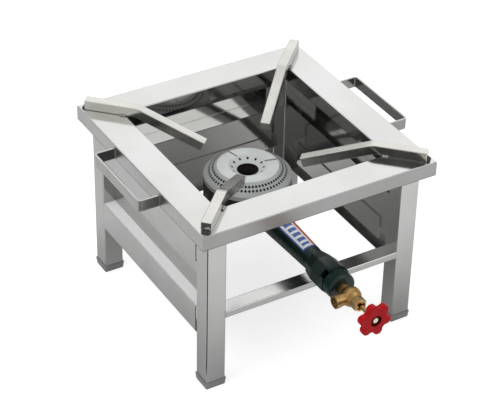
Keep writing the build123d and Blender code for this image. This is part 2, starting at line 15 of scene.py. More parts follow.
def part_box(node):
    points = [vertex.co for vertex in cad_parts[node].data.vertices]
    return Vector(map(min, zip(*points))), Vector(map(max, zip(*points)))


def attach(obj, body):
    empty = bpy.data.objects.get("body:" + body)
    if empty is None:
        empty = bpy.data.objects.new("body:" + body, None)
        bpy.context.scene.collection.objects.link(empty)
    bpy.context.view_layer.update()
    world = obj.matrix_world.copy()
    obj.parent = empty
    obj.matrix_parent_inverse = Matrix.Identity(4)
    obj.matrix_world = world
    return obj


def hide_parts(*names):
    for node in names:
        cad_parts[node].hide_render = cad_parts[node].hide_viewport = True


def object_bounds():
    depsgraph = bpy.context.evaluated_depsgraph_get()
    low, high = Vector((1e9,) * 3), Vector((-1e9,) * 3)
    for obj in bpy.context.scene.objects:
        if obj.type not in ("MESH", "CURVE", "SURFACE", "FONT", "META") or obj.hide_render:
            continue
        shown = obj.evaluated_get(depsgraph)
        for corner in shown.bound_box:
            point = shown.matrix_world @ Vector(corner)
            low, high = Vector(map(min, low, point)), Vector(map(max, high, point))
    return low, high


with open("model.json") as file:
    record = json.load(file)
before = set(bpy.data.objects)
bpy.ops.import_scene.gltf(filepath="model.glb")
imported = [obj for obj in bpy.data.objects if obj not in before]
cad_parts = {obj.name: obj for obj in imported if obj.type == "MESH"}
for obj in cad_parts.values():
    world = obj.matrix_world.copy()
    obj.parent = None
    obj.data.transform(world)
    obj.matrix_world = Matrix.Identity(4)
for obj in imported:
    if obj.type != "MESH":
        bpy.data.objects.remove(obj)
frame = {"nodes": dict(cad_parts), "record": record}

CAD_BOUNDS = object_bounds()
MM = 0.001
STAND = "stand"
log = logging.getLogger("pot_range")

# Places that the finishes and the studio are laid out from, in metres.
STAND_LOW, STAND_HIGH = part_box("top_strip_front")[0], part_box("top_strip_back")[1]
STAND_MIDDLE = (STAND_LOW + STAND_HIGH) / 2
STAND_MIDDLE.z = 100 * MM
FRONT_LEG_BACK_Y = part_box("leg_front_left")[1].y
BURNER_MIDDLE = sum(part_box("burner_cap"), Vector()) / 2
LABEL_FRONT_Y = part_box("tube_label")[0].y
GAS_INLET = next(mount for mount in frame["record"]["mounts"] if mount["name"] == "gas_inlet")
GAS_AXIS_Z = GAS_INLET["pos_m"][2]

# How far a face's normal, of length 1, has to reach along an axis: for a face square to it, for a level
# face, and for one that slopes upwards.
SQUARE_ON, LEVEL, SLOPING = 0.9, 0.98, 0.3
# Blender's wave texture turns by so many radians in a metre at a scale of 1.
WAVE_TEXTURE_RADIANS = 20

Nodes = bpy.types.NodeTree
Socket = bpy.types.NodeSocket


def linear(hex_colour: str, shade: float = 0.0) -> tuple[float, float, float, float]:
    """Turns an sRGB hex colour into the linear colour that a shader takes.

    Args:
        hex_colour: six hex digits, with or without a leading hash.
        shade: how much darker it gets, from 0 to 1.

    Returns:
        Linear red, green and blue, and an alpha of 1.
    """
    digits = hex_colour.lstrip("#")
    channels = [int(digits[i:i + 2], 16) / 255 for i in (0, 2, 4)]
    channels = [c / 12.92 if c <= 0.04045 else ((c + 0.055) / 1.055) ** 2.4 for c in channels]
    red, green, blue = (channel * (1 - shade) for channel in channels)
    return red, green, blue, 1.0


def add_node(
    tree: Nodes, kind: str, inputs: dict[int | str, Any] | None = None, output: int | str = 0, **settings: Any
) -> Socket | None:
    """Adds a shader node with its settings and links.

    Args:
        tree: the node tree that gets the node.
        kind: the node's type after "ShaderNode", such as "Bump".
        inputs: for an input's name or number, the socket that feeds it or its own value.
        output: name or number of the output that is wanted.
        settings: the node's properties.

    Returns:
        That output, or None for a node that has no outputs.
    """
    node = tree.nodes.new(f"ShaderNode{kind}")
    for name, value in settings.items():
        setattr(node, name, value)
    for key, value in (inputs or {}).items():
        if isinstance(value, Socket):
            tree.links.new(value, node.inputs[key])
        else:
            node.inputs[key].default_value = value
    return node.outputs[output] if node.outputs else None


def empty_tree(owner: bpy.types.Material | bpy.types.World) -> Nodes:
    """Gives a new material or world a node tree with nothing in it.

    Args:
        owner: the material or world.

    Returns:
        Its node tree.
    """
    owner.use_nodes = True
    owner.node_tree.nodes.clear()
    return owner.node_tree


def distance(tree: Nodes, first: Socket, second: Socket) -> Socket:
    """The straight distance that two distances at right angles make.

    Args:
        tree: the material's nodes.
        first: one distance.
        second: the other one.

    Returns:
        The straight distance.
    """
    square = add_node(tree, "Math", {0: second, 1: second}, operation="MULTIPLY")
    squares = add_node(tree, "Math", {0: first, 1: first, 2: square}, operation="MULTIPLY_ADD")
    return add_node(tree, "Math", {0: squares}, operation="SQRT")


class Grain(Enum):
    """The way that a sheet or bar was rolled or polished, as the row frame's axis."""

    ALONG_X = 0
    ALONG_Y = 1
    ALONG_Z = 2


@dataclass(frozen=True)
class Finish:
    """What every finish has: a name, two close colours, a mean roughness and how it mirrors.

    Attributes:
        name: the material's name.
        colour: its main colour, sRGB hex.
        second_colour: the colour that it drifts to in patches, sRGB hex.
        roughness: mean roughness.
        patch_mm: size of the patches of colour.
        metallic: 1 for bare metal, 0 for anything else.
        ior: index of refraction.
        specular: how strongly a surface that isn't metal mirrors, where 0.5 is the full strength of its IOR.
        coat: weight of a clear gloss over the surface, from 0 to 1.
        coat_roughness: that gloss's roughness.
        colour_span: the patches' values, from 0 to 1, between which one colour turns into the other.
        gloss_patch: size of a patch of gloss, as a share of a patch of colour.
        gloss_span: the values of the patches of gloss between which the roughness rises.
        gloss_drift: the lowest and the highest roughness, as shares of the mean one.
    """

    name: str
    colour: str
    second_colour: str
    roughness: float
    patch_mm: float = 60.0
    metallic: float = 0.0
    ior: float = 1.5
    specular: float = 0.5
    coat: float = 0.0
    coat_roughness: float = 0.08
    colour_span: tuple[float, float] = (0.35, 0.65)
    gloss_patch: float = 0.6
    gloss_span: tuple[float, float] = (0.3, 0.7)
    gloss_drift: tuple[float, float] = (0.8, 1.25)

    def material(self) -> bpy.types.Material:
        """Builds the material, or finds it where it was built before.

        Returns:
            The Blender material.
        """
        known = bpy.data.materials.get(self.name)
        if known:
            return known
        made = bpy.data.materials.new(self.name)
        made.diffuse_color = linear(self.colour)
        tree = empty_tree(made)
        place = add_node(tree, "TexCoord", output="Object")
        shader = add_node(
            tree,
            "BsdfPrincipled",
            {
                "Metallic": self.metal(tree),
                "IOR": self.ior,
                "Specular IOR Level": self.specular,
                "Coat Weight": self.coat,
                "Coat Roughness": self.coat_roughness,
                "Base Color": self.tint(tree, place),
                "Roughness": self.gloss(tree, place),
                "Normal": self.relief(tree, place),
            },
        )
        add_node(tree, "OutputMaterial", {"Surface": shader})
        return made

    def metal(self, tree: Nodes) -> float | Socket:
        """How metallic the surface is."""
        return self.metallic

    def tint(self, tree: Nodes, place: Socket) -> Socket:
        """The base colour, drifting between the finish's two colours.

        Args:
            tree: the material's nodes.
            place: the point in the row frame.

        Returns:
            The colour.
        """
        start, end = self.colour_span
        patches = self.patches(tree, place, self.patch_mm)
        drift = add_node(tree, "MapRange", {"Value": patches, "From Min": start, "From Max": end})
        return self.layered(tree, linear(self.colour), (drift, linear(self.second_colour)))

    def gloss(self, tree: Nodes, place: Socket) -> Socket:
        """The roughness, a little higher and lower in patches, as handling leaves it.

        Args:
            tree: the material's nodes.
            place: the point in the row frame.

        Returns:
            The roughness.
        """
        return add_node(
            tree,
            "MapRange",
            {
                "Value": self.patches(tree, place, self.patch_mm * self.gloss_patch, detail=6.0),
                "From Min": self.gloss_span[0],
                "From Max": self.gloss_span[1],
                "To Min": self.roughness * self.gloss_drift[0],
                "To Max": self.roughness * self.gloss_drift[1],
            },
        )

    def relief(self, tree: Nodes, place: Socket) -> Socket:
        """The surface's unevenness, as a normal."""
        raise NotImplementedError

    def patches(self, tree: Nodes, place: Socket, size_mm: float, detail: float = 3.0) -> Socket:
        """Soft patches of about one size, from 0 to 1."""
        return add_node(tree, "TexNoise", {"Vector": place, "Scale": 1 / (size_mm * MM), "Detail": detail})

    def layered(self, tree: Nodes, base: Any, *layers: tuple[Socket, Any]) -> Socket:
        """Lays colours over one another.

        Args:
            tree: the material's nodes.
            base: the lowest colour.
            layers: for each colour over it, how much of the surface it covers, from 0 to 1, and the colour.

        Returns:
            The colour that shows.
        """
        for share, colour in layers:
            base = add_node(tree, "Mix", {0: share, 6: base, 7: colour}, output=2, data_type="RGBA")
        return base

    def raised(self, tree: Nodes, *layers: tuple[Socket, float]) -> Socket:
        """Lays bumps over one another, the coarsest first.

        Args:
            tree: the material's nodes.
            layers: for each layer, its height from 0 to 1, and its depth in millimetres.

        Returns:
            The normal of the uneven surface.
        """
        below = {}
        for height, depth_mm in layers:
            normal = add_node(tree, "Bump", {"Height": height, "Distance": depth_mm * MM, **below})
            below = {"Normal": normal}
        return normal


@dataclass(frozen=True)
class PolishedStainless(Finish):
    """Rolled 304 stainless sheet, buffed: a soft mirror, wavy over a hand's breadth, with fine lines.

    Faces that look out of the stand are buffed satin, and those that look into it keep the mill's mirror.

    Attributes:
        metallic: a little under 1, which gives a faint matt share that lifts the darkest reflections.
        grain: the way the sheet was rolled and buffed.
        inside_roughness: mean roughness of the faces that look into the stand.
        inside_shade: how much painted shade darkens those faces, from 0 to 1.
        end_shade: how much painted shade darkens the ends across the grain and the rim beside the front legs'
            slots, from 0 to 1.
        rim_mm: how far that painted shade reaches behind the front legs, on a sheet with such ends.
        wave_mm: length of the sheet's waves.
        wave_depth_mm: their depth.
        line_mm: width of a buffing line, drawn coarser than the real 0.05 mm so that it shows.
        line_length_mm: length of a buffing line.
        line_depth_mm: its depth.
    """

    metallic: float = 0.965
    grain: Grain = Grain.ALONG_X
    inside_roughness: float = 0.08
    inside_shade: float = 0.0
    end_shade: float = 0.0
    rim_mm: float = 3.1
    wave_mm: float = 85.0
    wave_depth_mm: float = 0.22
    line_mm: float = 0.8
    line_length_mm: float = 140.0
    line_depth_mm: float = 0.0016

    def tint(self, tree: Nodes, place: Socket) -> Socket:
        """The drifting colour of the sheet, with painted shade on faces inside the stand, on the ends across
        the grain and beside the front legs' slots.

        Args:
            tree: the material's nodes.
            place: the point in the row frame.

        Returns:
            The colour.
        """
        return self.layered(
            tree,
            super().tint(tree, place),
            (self.inward(tree, place), linear(self.second_colour, self.inside_shade)),
            (self.endward(tree, place), linear(self.second_colour, self.end_shade)),
        )

    def gloss(self, tree: Nodes, place: Socket) -> Socket:
        """Satin on faces that look out of the stand, and mirror on those that look into it."""
        inside = self.inward(tree, place)
        return self.reglossed(tree, super().gloss(tree, place), inside, self.inside_roughness)

    def relief(self, tree: Nodes, place: Socket) -> Socket:
        """Long waves of the sheet under fine buffing lines.

        Args:
            tree: the material's nodes.
            place: the point in the row frame.

        Returns:
            The normal.
        """
        waves = self.patches(tree, place, self.wave_mm, detail=1.0)
        return self.raised(tree, (waves, self.wave_depth_mm), (self.lines(tree, place), self.line_depth_mm))

    def lines(self, tree: Nodes, place: Socket) -> Socket:
        """Fine lines along the grain.

        Args:
            tree: the material's nodes.
            place: the point in the row frame.

        Returns:
            Their height, from 0 to 1.
        """
        scale = [1 / (self.line_mm * MM)] * 3
        scale[self.grain.value] = 1 / (self.line_length_mm * MM)
        stretched = add_node(tree, "Mapping", {"Vector": place, "Scale": scale})
        noise = {"Vector": stretched, "Scale": 1.0, "Detail": 3.0, "Roughness": 0.6}
        return add_node(tree, "TexNoise", noise)

    def reglossed(self, tree: Nodes, gloss: Socket, share: Socket, roughness: float) -> Socket:
        """Gives some of the faces another roughness.

        Args:
            tree: the material's nodes.
            gloss: the roughness of the other faces.
            share: 1 on the faces that differ, and 0 on the others.
            roughness: the mean roughness of those that differ.

        Returns:
            The roughness of all faces.
        """
        span = {"Value": share, "To Min": 1.0, "To Max": roughness / self.roughness}
        ratio = add_node(tree, "MapRange", span)
        return add_node(tree, "Math", {0: gloss, 1: ratio}, operation="MULTIPLY")

    def inward(self, tree: Nodes, place: Socket) -> Socket:
        """Finds the faces that look into the stand.

        Args:
            tree: the material's nodes.
            place: the point in the row frame.

        Returns:
            1 on those faces, and 0 on faces that look out of the stand.
        """
        facing = add_node(tree, "NewGeometry", output="True Normal")
        outward = add_node(tree, "VectorMath", {0: place, 1: STAND_MIDDLE}, operation="SUBTRACT")
        both = add_node(tree, "VectorMath", {0: facing, 1: outward}, output="Value", operation="DOT_PRODUCT")
        return add_node(tree, "Math", {0: both, 1: 0.0}, operation="LESS_THAN")

    def upward(self, tree: Nodes, least: float = LEVEL) -> Socket:
        """Finds the faces that look up.

        Args:
            tree: the material's nodes.
            least: how far up their normal reaches at least.

        Returns:
            1 on those faces, and 0 elsewhere.
        """
        facing = add_node(tree, "NewGeometry", output="True Normal")
        rise = add_node(tree, "SeparateXYZ", {0: facing}, output="Z")
        return add_node(tree, "Math", {0: rise, 1: least}, operation="GREATER_THAN")

    def endward(self, tree: Nodes, place: Socket) -> Socket:
        """Finds the ends across the grain, and a rim beside the slots at the front legs, which get painted
        shade.

        Args:
            tree: the material's nodes.
            place: the point in the row frame.

        Returns:
            1 there, and 0 elsewhere and where the finish has no painted end shade.
        """
        facing = add_node(tree, "NewGeometry", output="True Normal")
        reach = add_node(tree, "VectorMath", {0: facing}, operation="ABSOLUTE")
        reaches = add_node(tree, "SeparateXYZ", {0: reach}).node.outputs
        end = add_node(tree, "Math", {0: reaches[self.grain.value], 1: SQUARE_ON}, operation="GREATER_THAN")
        sideways = add_node(tree, "Math", {0: reaches["X"], 1: SQUARE_ON}, operation="GREATER_THAN")
        y = add_node(tree, "SeparateXYZ", {0: place}, output="Y")
        near = add_node(tree, "Math", {0: y, 1: FRONT_LEG_BACK_Y + self.rim_mm * MM}, operation="LESS_THAN")
        rim = add_node(tree, "Math", {0: near, 1: sideways}, operation="MULTIPLY")
        both = add_node(tree, "Math", {0: end, 1: rim}, operation="MAXIMUM")
        return add_node(tree, "Math", {0: both, 1: 1.0 if self.end_shade else 0.0}, operation="MULTIPLY")


@dataclass(frozen=True)
class SeamStrip(PolishedStainless):
    """A lapped strip with sheared edges: its faces as polished as the sheet, its upward edge painted dark as
    shade.

    Attributes:
        edge_colour: painted shade on the upward sheared edge, sRGB hex.
        edge_roughness: how much rougher it is than the sheet.
    """

    edge_colour: str = "#858380"
    edge_roughness: float = 0.4

    def tint(self, tree: Nodes, place: Socket) -> Socket:
        """The sheet's colour, with its upward edge painted in edge_colour."""
        edge = (self.upward(tree), linear(self.edge_colour))
        return self.layered(tree, super().tint(tree, place), edge)

    def gloss(self, tree: Nodes, place: Socket) -> Socket:
        """The sheet's gloss, with a rough edge."""
        parts = {0: self.upward(tree), 1: self.edge_roughness, 2: super().gloss(tree, place)}
        return add_node(tree, "Math", parts, operation="MULTIPLY_ADD")


@dataclass(frozen=True)
class FoldedSheet(PolishedStainless):
    """A folded sheet with a satin skirt, whose upward face keeps a brighter polish.

    Attributes:
        top_roughness: mean roughness of the upward face.
    """

    top_roughness: float = 0.07

    def gloss(self, tree: Nodes, place: Socket) -> Socket:
        """The skirt's satin, smoother on top."""
        return self.reglossed(tree, super().gloss(tree, place), self.upward(tree), self.top_roughness)


@dataclass(frozen=True)
class TopSheet(FoldedSheet):
    """The top frame's sheet: its top polished by the pots, its skirts satin and darkened with painted shade,
    with painted shade along their lower edge.

    Attributes:
        top_roughness: mean roughness of the upward face.
        edge_colour: painted shade along the skirts' lower edge, sRGB hex.
        edge_mm: its height.
        skirt_shade: how much painted shade darkens the skirts against the top, from 0 to 1.
    """

    top_roughness: float = 0.13
    edge_colour: str = "#4c4a48"
    edge_mm: float = 0.9
    skirt_shade: float = 0.05

    def tint(self, tree: Nodes, place: Socket) -> Socket:
        """The sheet's colour, with painted shade on the skirts and a painted dark line along their lower
        edge.

        Args:
            tree: the material's nodes.
            place: the point in the row frame.

        Returns:
            The colour.
        """
        height = add_node(tree, "SeparateXYZ", {0: place}, output="Z")
        low = add_node(tree, "Math", {0: height, 1: STAND_LOW.z + self.edge_mm * MM}, operation="LESS_THAN")
        skirt = add_node(tree, "Math", {0: 1.0, 1: self.upward(tree)}, operation="SUBTRACT")
        shade = add_node(tree, "Math", {0: skirt, 1: self.skirt_shade}, operation="MULTIPLY")
        edge = (low, linear(self.edge_colour))
        return self.layered(tree, super().tint(tree, place), (shade, linear("#000000")), edge)


@dataclass(frozen=True)
class PaintedBrightLedge(SeamStrip):
    """A folded stretcher whose ledge is painted matt white, as a painted highlight that stands in for its
    bright reflection.

    Attributes:
        metallic: 1 for the bare metal; the painted ledge has none.
        edge_colour: the painted highlight on the upward faces, sRGB hex.
    """

    metallic: float = 1.0
    edge_colour: str = "#ffffff"

    def metal(self, tree: Nodes) -> Socket:
        """Bare metal, apart from the ledge, which is painted matt white as a highlight."""
        span = {"Value": self.upward(tree), "To Min": self.metallic, "To Max": 0.0}
        return add_node(tree, "MapRange", span)


@dataclass(frozen=True)
class LinishedBar(PolishedStainless):
    """Cold-drawn bar, linished: its slopes are rubbed dull by the flame and the scouring pad.

    Attributes:
        slope_roughness: mean roughness of the sloping upward faces.
    """

    slope_roughness: float = 0.28

    def gloss(self, tree: Nodes, place: Socket) -> Socket:
        """The bar's gloss, duller on its slopes.

        Args:
            tree: the material's nodes.
            place: the point in the row frame.

        Returns:
            The roughness.
        """
        rising = {0: self.upward(tree, SLOPING), 1: self.upward(tree)}
        tilted = add_node(tree, "Math", rising, operation="SUBTRACT")
        return self.reglossed(tree, super().gloss(tree, place), tilted, self.slope_roughness)


@dataclass(frozen=True)
class SandCast(Finish):
    """Sand-cast iron or brass, bare or painted: a pebbled skin over wider, soft dents.

    Attributes:
        sand_mm: size of the sand's print.
        sand_depth_mm: its depth.
        dent_width: width of a dent, in prints.
        dent_depth: depth of a dent, in depths of the print.
    """

    sand_mm: float = 1.6
    sand_depth_mm: float = 0.10
    dent_width: float = 5.0
    dent_depth: float = 2.5

    def relief(self, tree: Nodes, place: Socket) -> Socket:
        """The sand's print over the dents.

        Args:
            tree: the material's nodes.
            place: the point in the row frame.

        Returns:
            The normal.
        """
        dents = self.patches(tree, place, self.sand_mm * self.dent_width, detail=1.0)
        sand = self.patches(tree, place, self.sand_mm, detail=4.0)
        return self.raised(tree, (dents, self.sand_depth_mm * self.dent_depth), (sand, self.sand_depth_mm))


@dataclass(frozen=True)
class PortedCap(SandCast):
    """The burner's painted cap: a pale top, with painted shade on the slope, in the bowl and in the channels'
    corners, and black painted shade in the middle hole and in and round every flame port.

    Attributes:
        slope_shade_colour: painted shade on the slope outside the flat top, sRGB hex.
        bowl_shade_colour: painted shade in the bowl inside it, sRGB hex.
        hole_shade_colour: black painted shade in the middle hole and round the ports, sRGB hex.
        channel_shade_colour: painted shade in the corners of the channels, sRGB hex.
        plate_mm: radius of the flat top.
        bowl_mm: radius of the bowl's edge.
        hole_mm: radius of the hole through the middle.
        channel_turns: direction of each channel, in degrees.
        channel_mm: half the width of a channel.
        channel_shade_mm: half the width of the painted shade at the channels' sides.
        port_shade_mm: how far the black painted shade reaches from a port's middle.
        port_shade_fade: where it starts to fade and where it ends, as shares of that reach.
        port_rings: radius of each ring of ports, with the number of ports on it.
    """

    slope_shade_colour: str = "#a6a9a7"
    bowl_shade_colour: str = "#bcc0be"
    hole_shade_colour: str = "#0b0b0b"
    channel_shade_colour: str = "#8d908e"
    plate_mm: float = 48.2
    bowl_mm: float = 30.0
    hole_mm: float = 17.1
    channel_turns: tuple[float, ...] = (225.0, 345.0, 105.0)
    channel_mm: float = 6.5
    channel_shade_mm: float = 0.45
    port_shade_mm: float = 2.0
    port_shade_fade: tuple[float, float] = (0.8, 1.1)
    port_rings: tuple[tuple[float, int], ...] = ((54.4, 64), (60.2, 64), (24.5, 12))

    def tint(self, tree: Nodes, place: Socket) -> Socket:
        """The paint's drifting colour, with painted shade on the slope, in the bowl and along the channels,
        and black painted shade in the hole and round the ports.

        Args:
            tree: the material's nodes.
            place: the point in the row frame.

        Returns:
            The colour.
        """
        off_axis = add_node(tree, "VectorMath", {0: place, 1: BURNER_MIDDLE}, operation="SUBTRACT")
        x, y, _ = add_node(tree, "SeparateXYZ", {0: off_axis}).node.outputs
        radius = distance(tree, x, y)
        turn = add_node(tree, "Math", {0: y, 1: x}, operation="ARCTAN2")
        on_slope = add_node(tree, "Math", {0: radius, 1: self.plate_mm * MM}, operation="GREATER_THAN")
        in_bowl = add_node(tree, "Math", {0: radius, 1: self.bowl_mm * MM}, operation="LESS_THAN")
        in_hole = add_node(tree, "Math", {0: radius, 1: self.hole_mm * MM}, operation="LESS_THAN")
        corner_shade, black_shade = linear(self.channel_shade_colour), linear(self.hole_shade_colour)
        return self.layered(
            tree,
            super().tint(tree, place),
            *((self.channel_sides(tree, off_axis, channel), corner_shade) for channel in self.channel_turns),
            (on_slope, linear(self.slope_shade_colour)),
            (in_bowl, linear(self.bowl_shade_colour)),
            (in_hole, black_shade),
            *((self.ports(tree, radius, turn, ring_mm, count), black_shade) for ring_mm, count in self.port_rings),
        )

    def channel_sides(self, tree: Nodes, off_axis: Socket, channel: float) -> Socket:
        """Finds both sides of one channel.

        Args:
            tree: the material's nodes.
            off_axis: the point, from the burner's middle.
            channel: the channel's direction, in degrees.

        Returns:
            1 there, and 0 elsewhere.
        """
        turn = math.radians(channel)
        ways = ((math.cos(turn), math.sin(turn), 0.0), (-math.sin(turn), math.cos(turn), 0.0))
        along, across = (
            add_node(tree, "VectorMath", {0: off_axis, 1: way}, output="Value", operation="DOT_PRODUCT")
            for way in ways
        )
        off_middle = add_node(tree, "Math", {0: across}, operation="ABSOLUTE")
        at_side = {0: off_middle, 1: self.channel_mm * MM, 2: self.channel_shade_mm * MM}
        on_side = add_node(tree, "Math", at_side, operation="COMPARE")
        ahead = add_node(tree, "Math", {0: along, 1: 0.0}, operation="GREATER_THAN")
        return add_node(tree, "Math", {0: on_side, 1: ahead}, operation="MULTIPLY")

    def ports(self, tree: Nodes, radius: Socket, turn: Socket, ring_mm: float, count: int) -> Socket:
        """Finds the ports of one ring, which get black painted shade.

        Args:
            tree: the material's nodes.
            radius: distance from the burner's axis.
            turn: angle round that axis.
            ring_mm: the ring's radius.
            count: how many ports it has.

        Returns:
            1 in the ports, fading to 0 just past their edges.
        """
        half_pitch = math.pi / count
        off_port = add_node(tree, "Math", {0: turn, 1: half_pitch, 2: -half_pitch}, operation="WRAP")
        round_ring = add_node(tree, "Math", {0: off_port, 1: ring_mm * MM}, operation="MULTIPLY")
        across = add_node(tree, "Math", {0: radius, 1: ring_mm * MM}, operation="SUBTRACT")
        return add_node(
            tree,
            "MapRange",
            {
                "Value": distance(tree, round_ring, across),
                "From Min": self.port_shade_mm * self.port_shade_fade[0] * MM,
                "From Max": self.port_shade_mm * self.port_shade_fade[1] * MM,
                "To Min": 1.0,
                "To Max": 0.0,
            },
        )


@dataclass(frozen=True)
class Turned(Finish):
    """Metal turned on a lathe: bright, with fine rings round its axis.

    Attributes:
        ring_mm: distance between tool marks, drawn coarser than the real 0.1 mm so that they show.
        ring_depth_mm: their depth.
    """

    metallic: float = 1.0
    ring_mm: float = 3.14
    ring_depth_mm: float = 0.004

    def relief(self, tree: Nodes, place: Socket) -> Socket:
        """Tool marks, one behind the other along the gas line's axis.

        Args:
            tree: the material's nodes.
            place: the point in the row frame.

        Returns:
            The normal.
        """
        scale = 2 * math.pi / (self.ring_mm * MM) / WAVE_TEXTURE_RADIANS
        wave = {"Vector": place, "Scale": scale, "Distortion": 0.6, "Detail": 1.0}
        rings = add_node(tree, "TexWave", wave, output="Fac", bands_direction="Y")
        return self.raised(tree, (rings, self.ring_depth_mm))


@dataclass(frozen=True)
class Moulded(Finish):
    """Injection-moulded plastic: an even colour with a faint orange-peel skin.

    Attributes:
        peel_mm: size of the skin's pebbles.
        peel_depth_mm: their depth.
    """

    ior: float = 1.49
    peel_mm: float = 2.2
    peel_depth_mm: float = 0.02

    def relief(self, tree: Nodes, place: Socket) -> Socket:
        """The pebbled skin."""
        return self.raised(tree, (self.patches(tree, place, self.peel_mm, detail=2.0), self.peel_depth_mm))


@dataclass(frozen=True)
class WheelPlastic(Moulded):
    """The handwheel's plastic, with painted shade in the round recess behind the screw.

    Attributes:
        recess_shade_colour: painted shade inside the recess, sRGB hex.
        recess_mm: the recess's radius.
    """

    recess_shade_colour: str = "#5a0d10"
    recess_mm: float = 9.2

    def tint(self, tree: Nodes, place: Socket) -> Socket:
        """The red, with painted shade within the recess on the front.

        Args:
            tree: the material's nodes.
            place: the point in the row frame.

        Returns:
            The colour.
        """
        x, _, height = add_node(tree, "SeparateXYZ", {0: place}).node.outputs
        z = add_node(tree, "Math", {0: height, 1: GAS_AXIS_Z}, operation="SUBTRACT")
        recess = {0: distance(tree, x, z), 1: self.recess_mm * MM}
        inside = add_node(tree, "Math", recess, operation="LESS_THAN")
        return self.layered(tree, super().tint(tree, place), (inside, linear(self.recess_shade_colour)))


@dataclass(frozen=True)
class PrintedFilm(Moulded):
    """Gloss film with a plain printed border, an edge stripe and a row of blocks.

    Attributes:
        border_colour: the border and the blocks, sRGB hex.
        stripe_colour: the stripe along the right edge, sRGB hex.
        half_angle: half the arc that the film covers round the tube, in degrees.
        stripe_start: where the stripe starts, as a share of that.
        margin_start: where the margins at both edges start, as a share of that.
        end_border_mm: width of the border at the mixer.
        block_pitch_mm: distance between two blocks.
        block_cut: height that a wave of that length reaches, from -1 to 1, where a block starts and ends.
        block_angle: angle from the top of the tube to the middle of the blocks, in degrees.
        block_half: half the arc of a block, as a share of half_angle.
        block_gap_mm: from the film's end at the mixer to the first block.
    """

    border_colour: str = "#2b4f9e"
    stripe_colour: str = "#d8502a"
    half_angle: float = 44.0
    stripe_start: float = 0.5
    margin_start: float = 0.86
    end_border_mm: float = 3.0
    block_pitch_mm: float = 13.0
    block_cut: float = -0.35
    block_angle: float = -8.0
    block_half: float = 0.42
    block_gap_mm: float = 8.0

    def tint(self, tree: Nodes, place: Socket) -> Socket:
        """White film, with border, stripe and blocks by the angle round the tube and the place along it.

        Args:
            tree: the material's nodes.
            place: the point in the row frame.

        Returns:
            The colour.
        """
        x, y, height = add_node(tree, "SeparateXYZ", {0: place}).node.outputs
        rise = add_node(tree, "Math", {0: height, 1: GAS_AXIS_Z}, operation="SUBTRACT")
        turn = add_node(tree, "Math", {0: x, 1: rise}, operation="ARCTAN2")
        edge = math.radians(self.half_angle)
        zones = (
            (turn, "GREATER_THAN", edge * self.stripe_start, self.stripe_colour),
            (turn, "GREATER_THAN", edge * self.margin_start, self.colour),
            (turn, "LESS_THAN", -edge * self.margin_start, self.border_colour),
            (y, "LESS_THAN", LABEL_FRONT_Y + self.end_border_mm * MM, self.border_colour),
        )
        return self.layered(
            tree,
            linear(self.colour),
            (self.blocks(tree, y, turn), linear(self.border_colour)),
            *(
                (add_node(tree, "Math", {0: value, 1: limit}, operation=test), linear(colour))
                for value, test, limit, colour in zones
            ),
        )

    def blocks(self, tree: Nodes, y: Socket, turn: Socket) -> Socket:
        """Finds a row of plain blocks along the middle of the film.

        Args:
            tree: the material's nodes.
            y: place along the tube.
            turn: angle round it, from the top.

        Returns:
            1 in the blocks, and 0 elsewhere.
        """
        per_metre = 2 * math.pi / (self.block_pitch_mm * MM)
        along = add_node(tree, "Math", {0: y, 1: per_metre}, operation="MULTIPLY")
        wave = add_node(tree, "Math", {0: along}, operation="SINE")
        on_block = add_node(tree, "Math", {0: wave, 1: self.block_cut}, operation="GREATER_THAN")
        row = {0: turn, 1: math.radians(self.block_angle), 2: math.radians(self.half_angle * self.block_half)}
        in_row = add_node(tree, "Math", row, operation="COMPARE")
        row_end = LABEL_FRONT_Y + self.block_gap_mm * MM
        before_end = add_node(tree, "Math", {0: y, 1: row_end}, operation="GREATER_THAN")
        both = add_node(tree, "Math", {0: on_block, 1: in_row}, operation="MULTIPLY")
        return add_node(tree, "Math", {0: both, 1: before_end}, operation="MULTIPLY")


def by_grain(kind: type[PolishedStainless], name: str, **settings: Any) -> dict[Grain, PolishedStainless]:
    """Makes a finish for each way that the sheet can be rolled.

    Args:
        kind: the finish's class.
        name: its name, which gets the grain's name behind it.
        settings: its other fields.

    Returns:
        The finish for each grain.
    """
    return {grain: kind(f"{name}_{grain.name.lower()}", grain=grain, **settings) for grain in Grain}


# Buffed 304 stainless: neutral grey metal that shows its surroundings softly, darker with each reflection.
STEEL = {"colour": "#b4b5b4", "second_colour": "#aeaeac", "roughness": 0.24, "patch_mm": 120.0}
STAINLESS = by_grain(PolishedStainless, "buffed_stainless", **STEEL)
# The upper rails are satin outside and their flanges keep the mill's bright finish; their ends and the rim
# beside the front legs' slots are painted nearly black, as shade.
RAIL_SHEET = by_grain(FoldedSheet, "folded_rail_sheet", **STEEL, end_shade=0.97)
# The top frame's skirts are brushed satin, and show their surroundings as a soft shade only. Painted
# shade darkens the front and back skirts, brushed across as well, by a third, and the side ones slightly.
TOP_STEEL = {**STEEL, "roughness": 0.32}
TOP_SHEET = {
    Grain.ALONG_X: TopSheet("cross_brushed_top_sheet", grain=Grain.ALONG_X, skirt_shade=0.34, **TOP_STEEL),
    Grain.ALONG_Y: TopSheet("brushed_top_sheet", grain=Grain.ALONG_Y, **TOP_STEEL),
}
# The wall sheets keep the mill's bright finish on both faces: a nearly clear mirror.
WALL_STEEL = {**STEEL, "roughness": 0.12}
WALL_SHEET = by_grain(PolishedStainless, "bright_wall_sheet", **WALL_STEEL)
# The strips lapped on them are the same sheet with sheared edges, with a line of painted shade on top.
SEAM_STRIP = by_grain(SeamStrip, "sheared_seam_strip", **WALL_STEEL)
# The stretchers are bright outside and dull inside; their ends and the rim beside the front legs' slots are
# painted dark, as shade.
LEDGE_STEEL = {**STEEL, "roughness": 0.16, "inside_roughness": 0.38, "end_shade": 0.9}
STRETCHER_SHEET = by_grain(PolishedStainless, "stretcher_sheet", **LEDGE_STEEL)
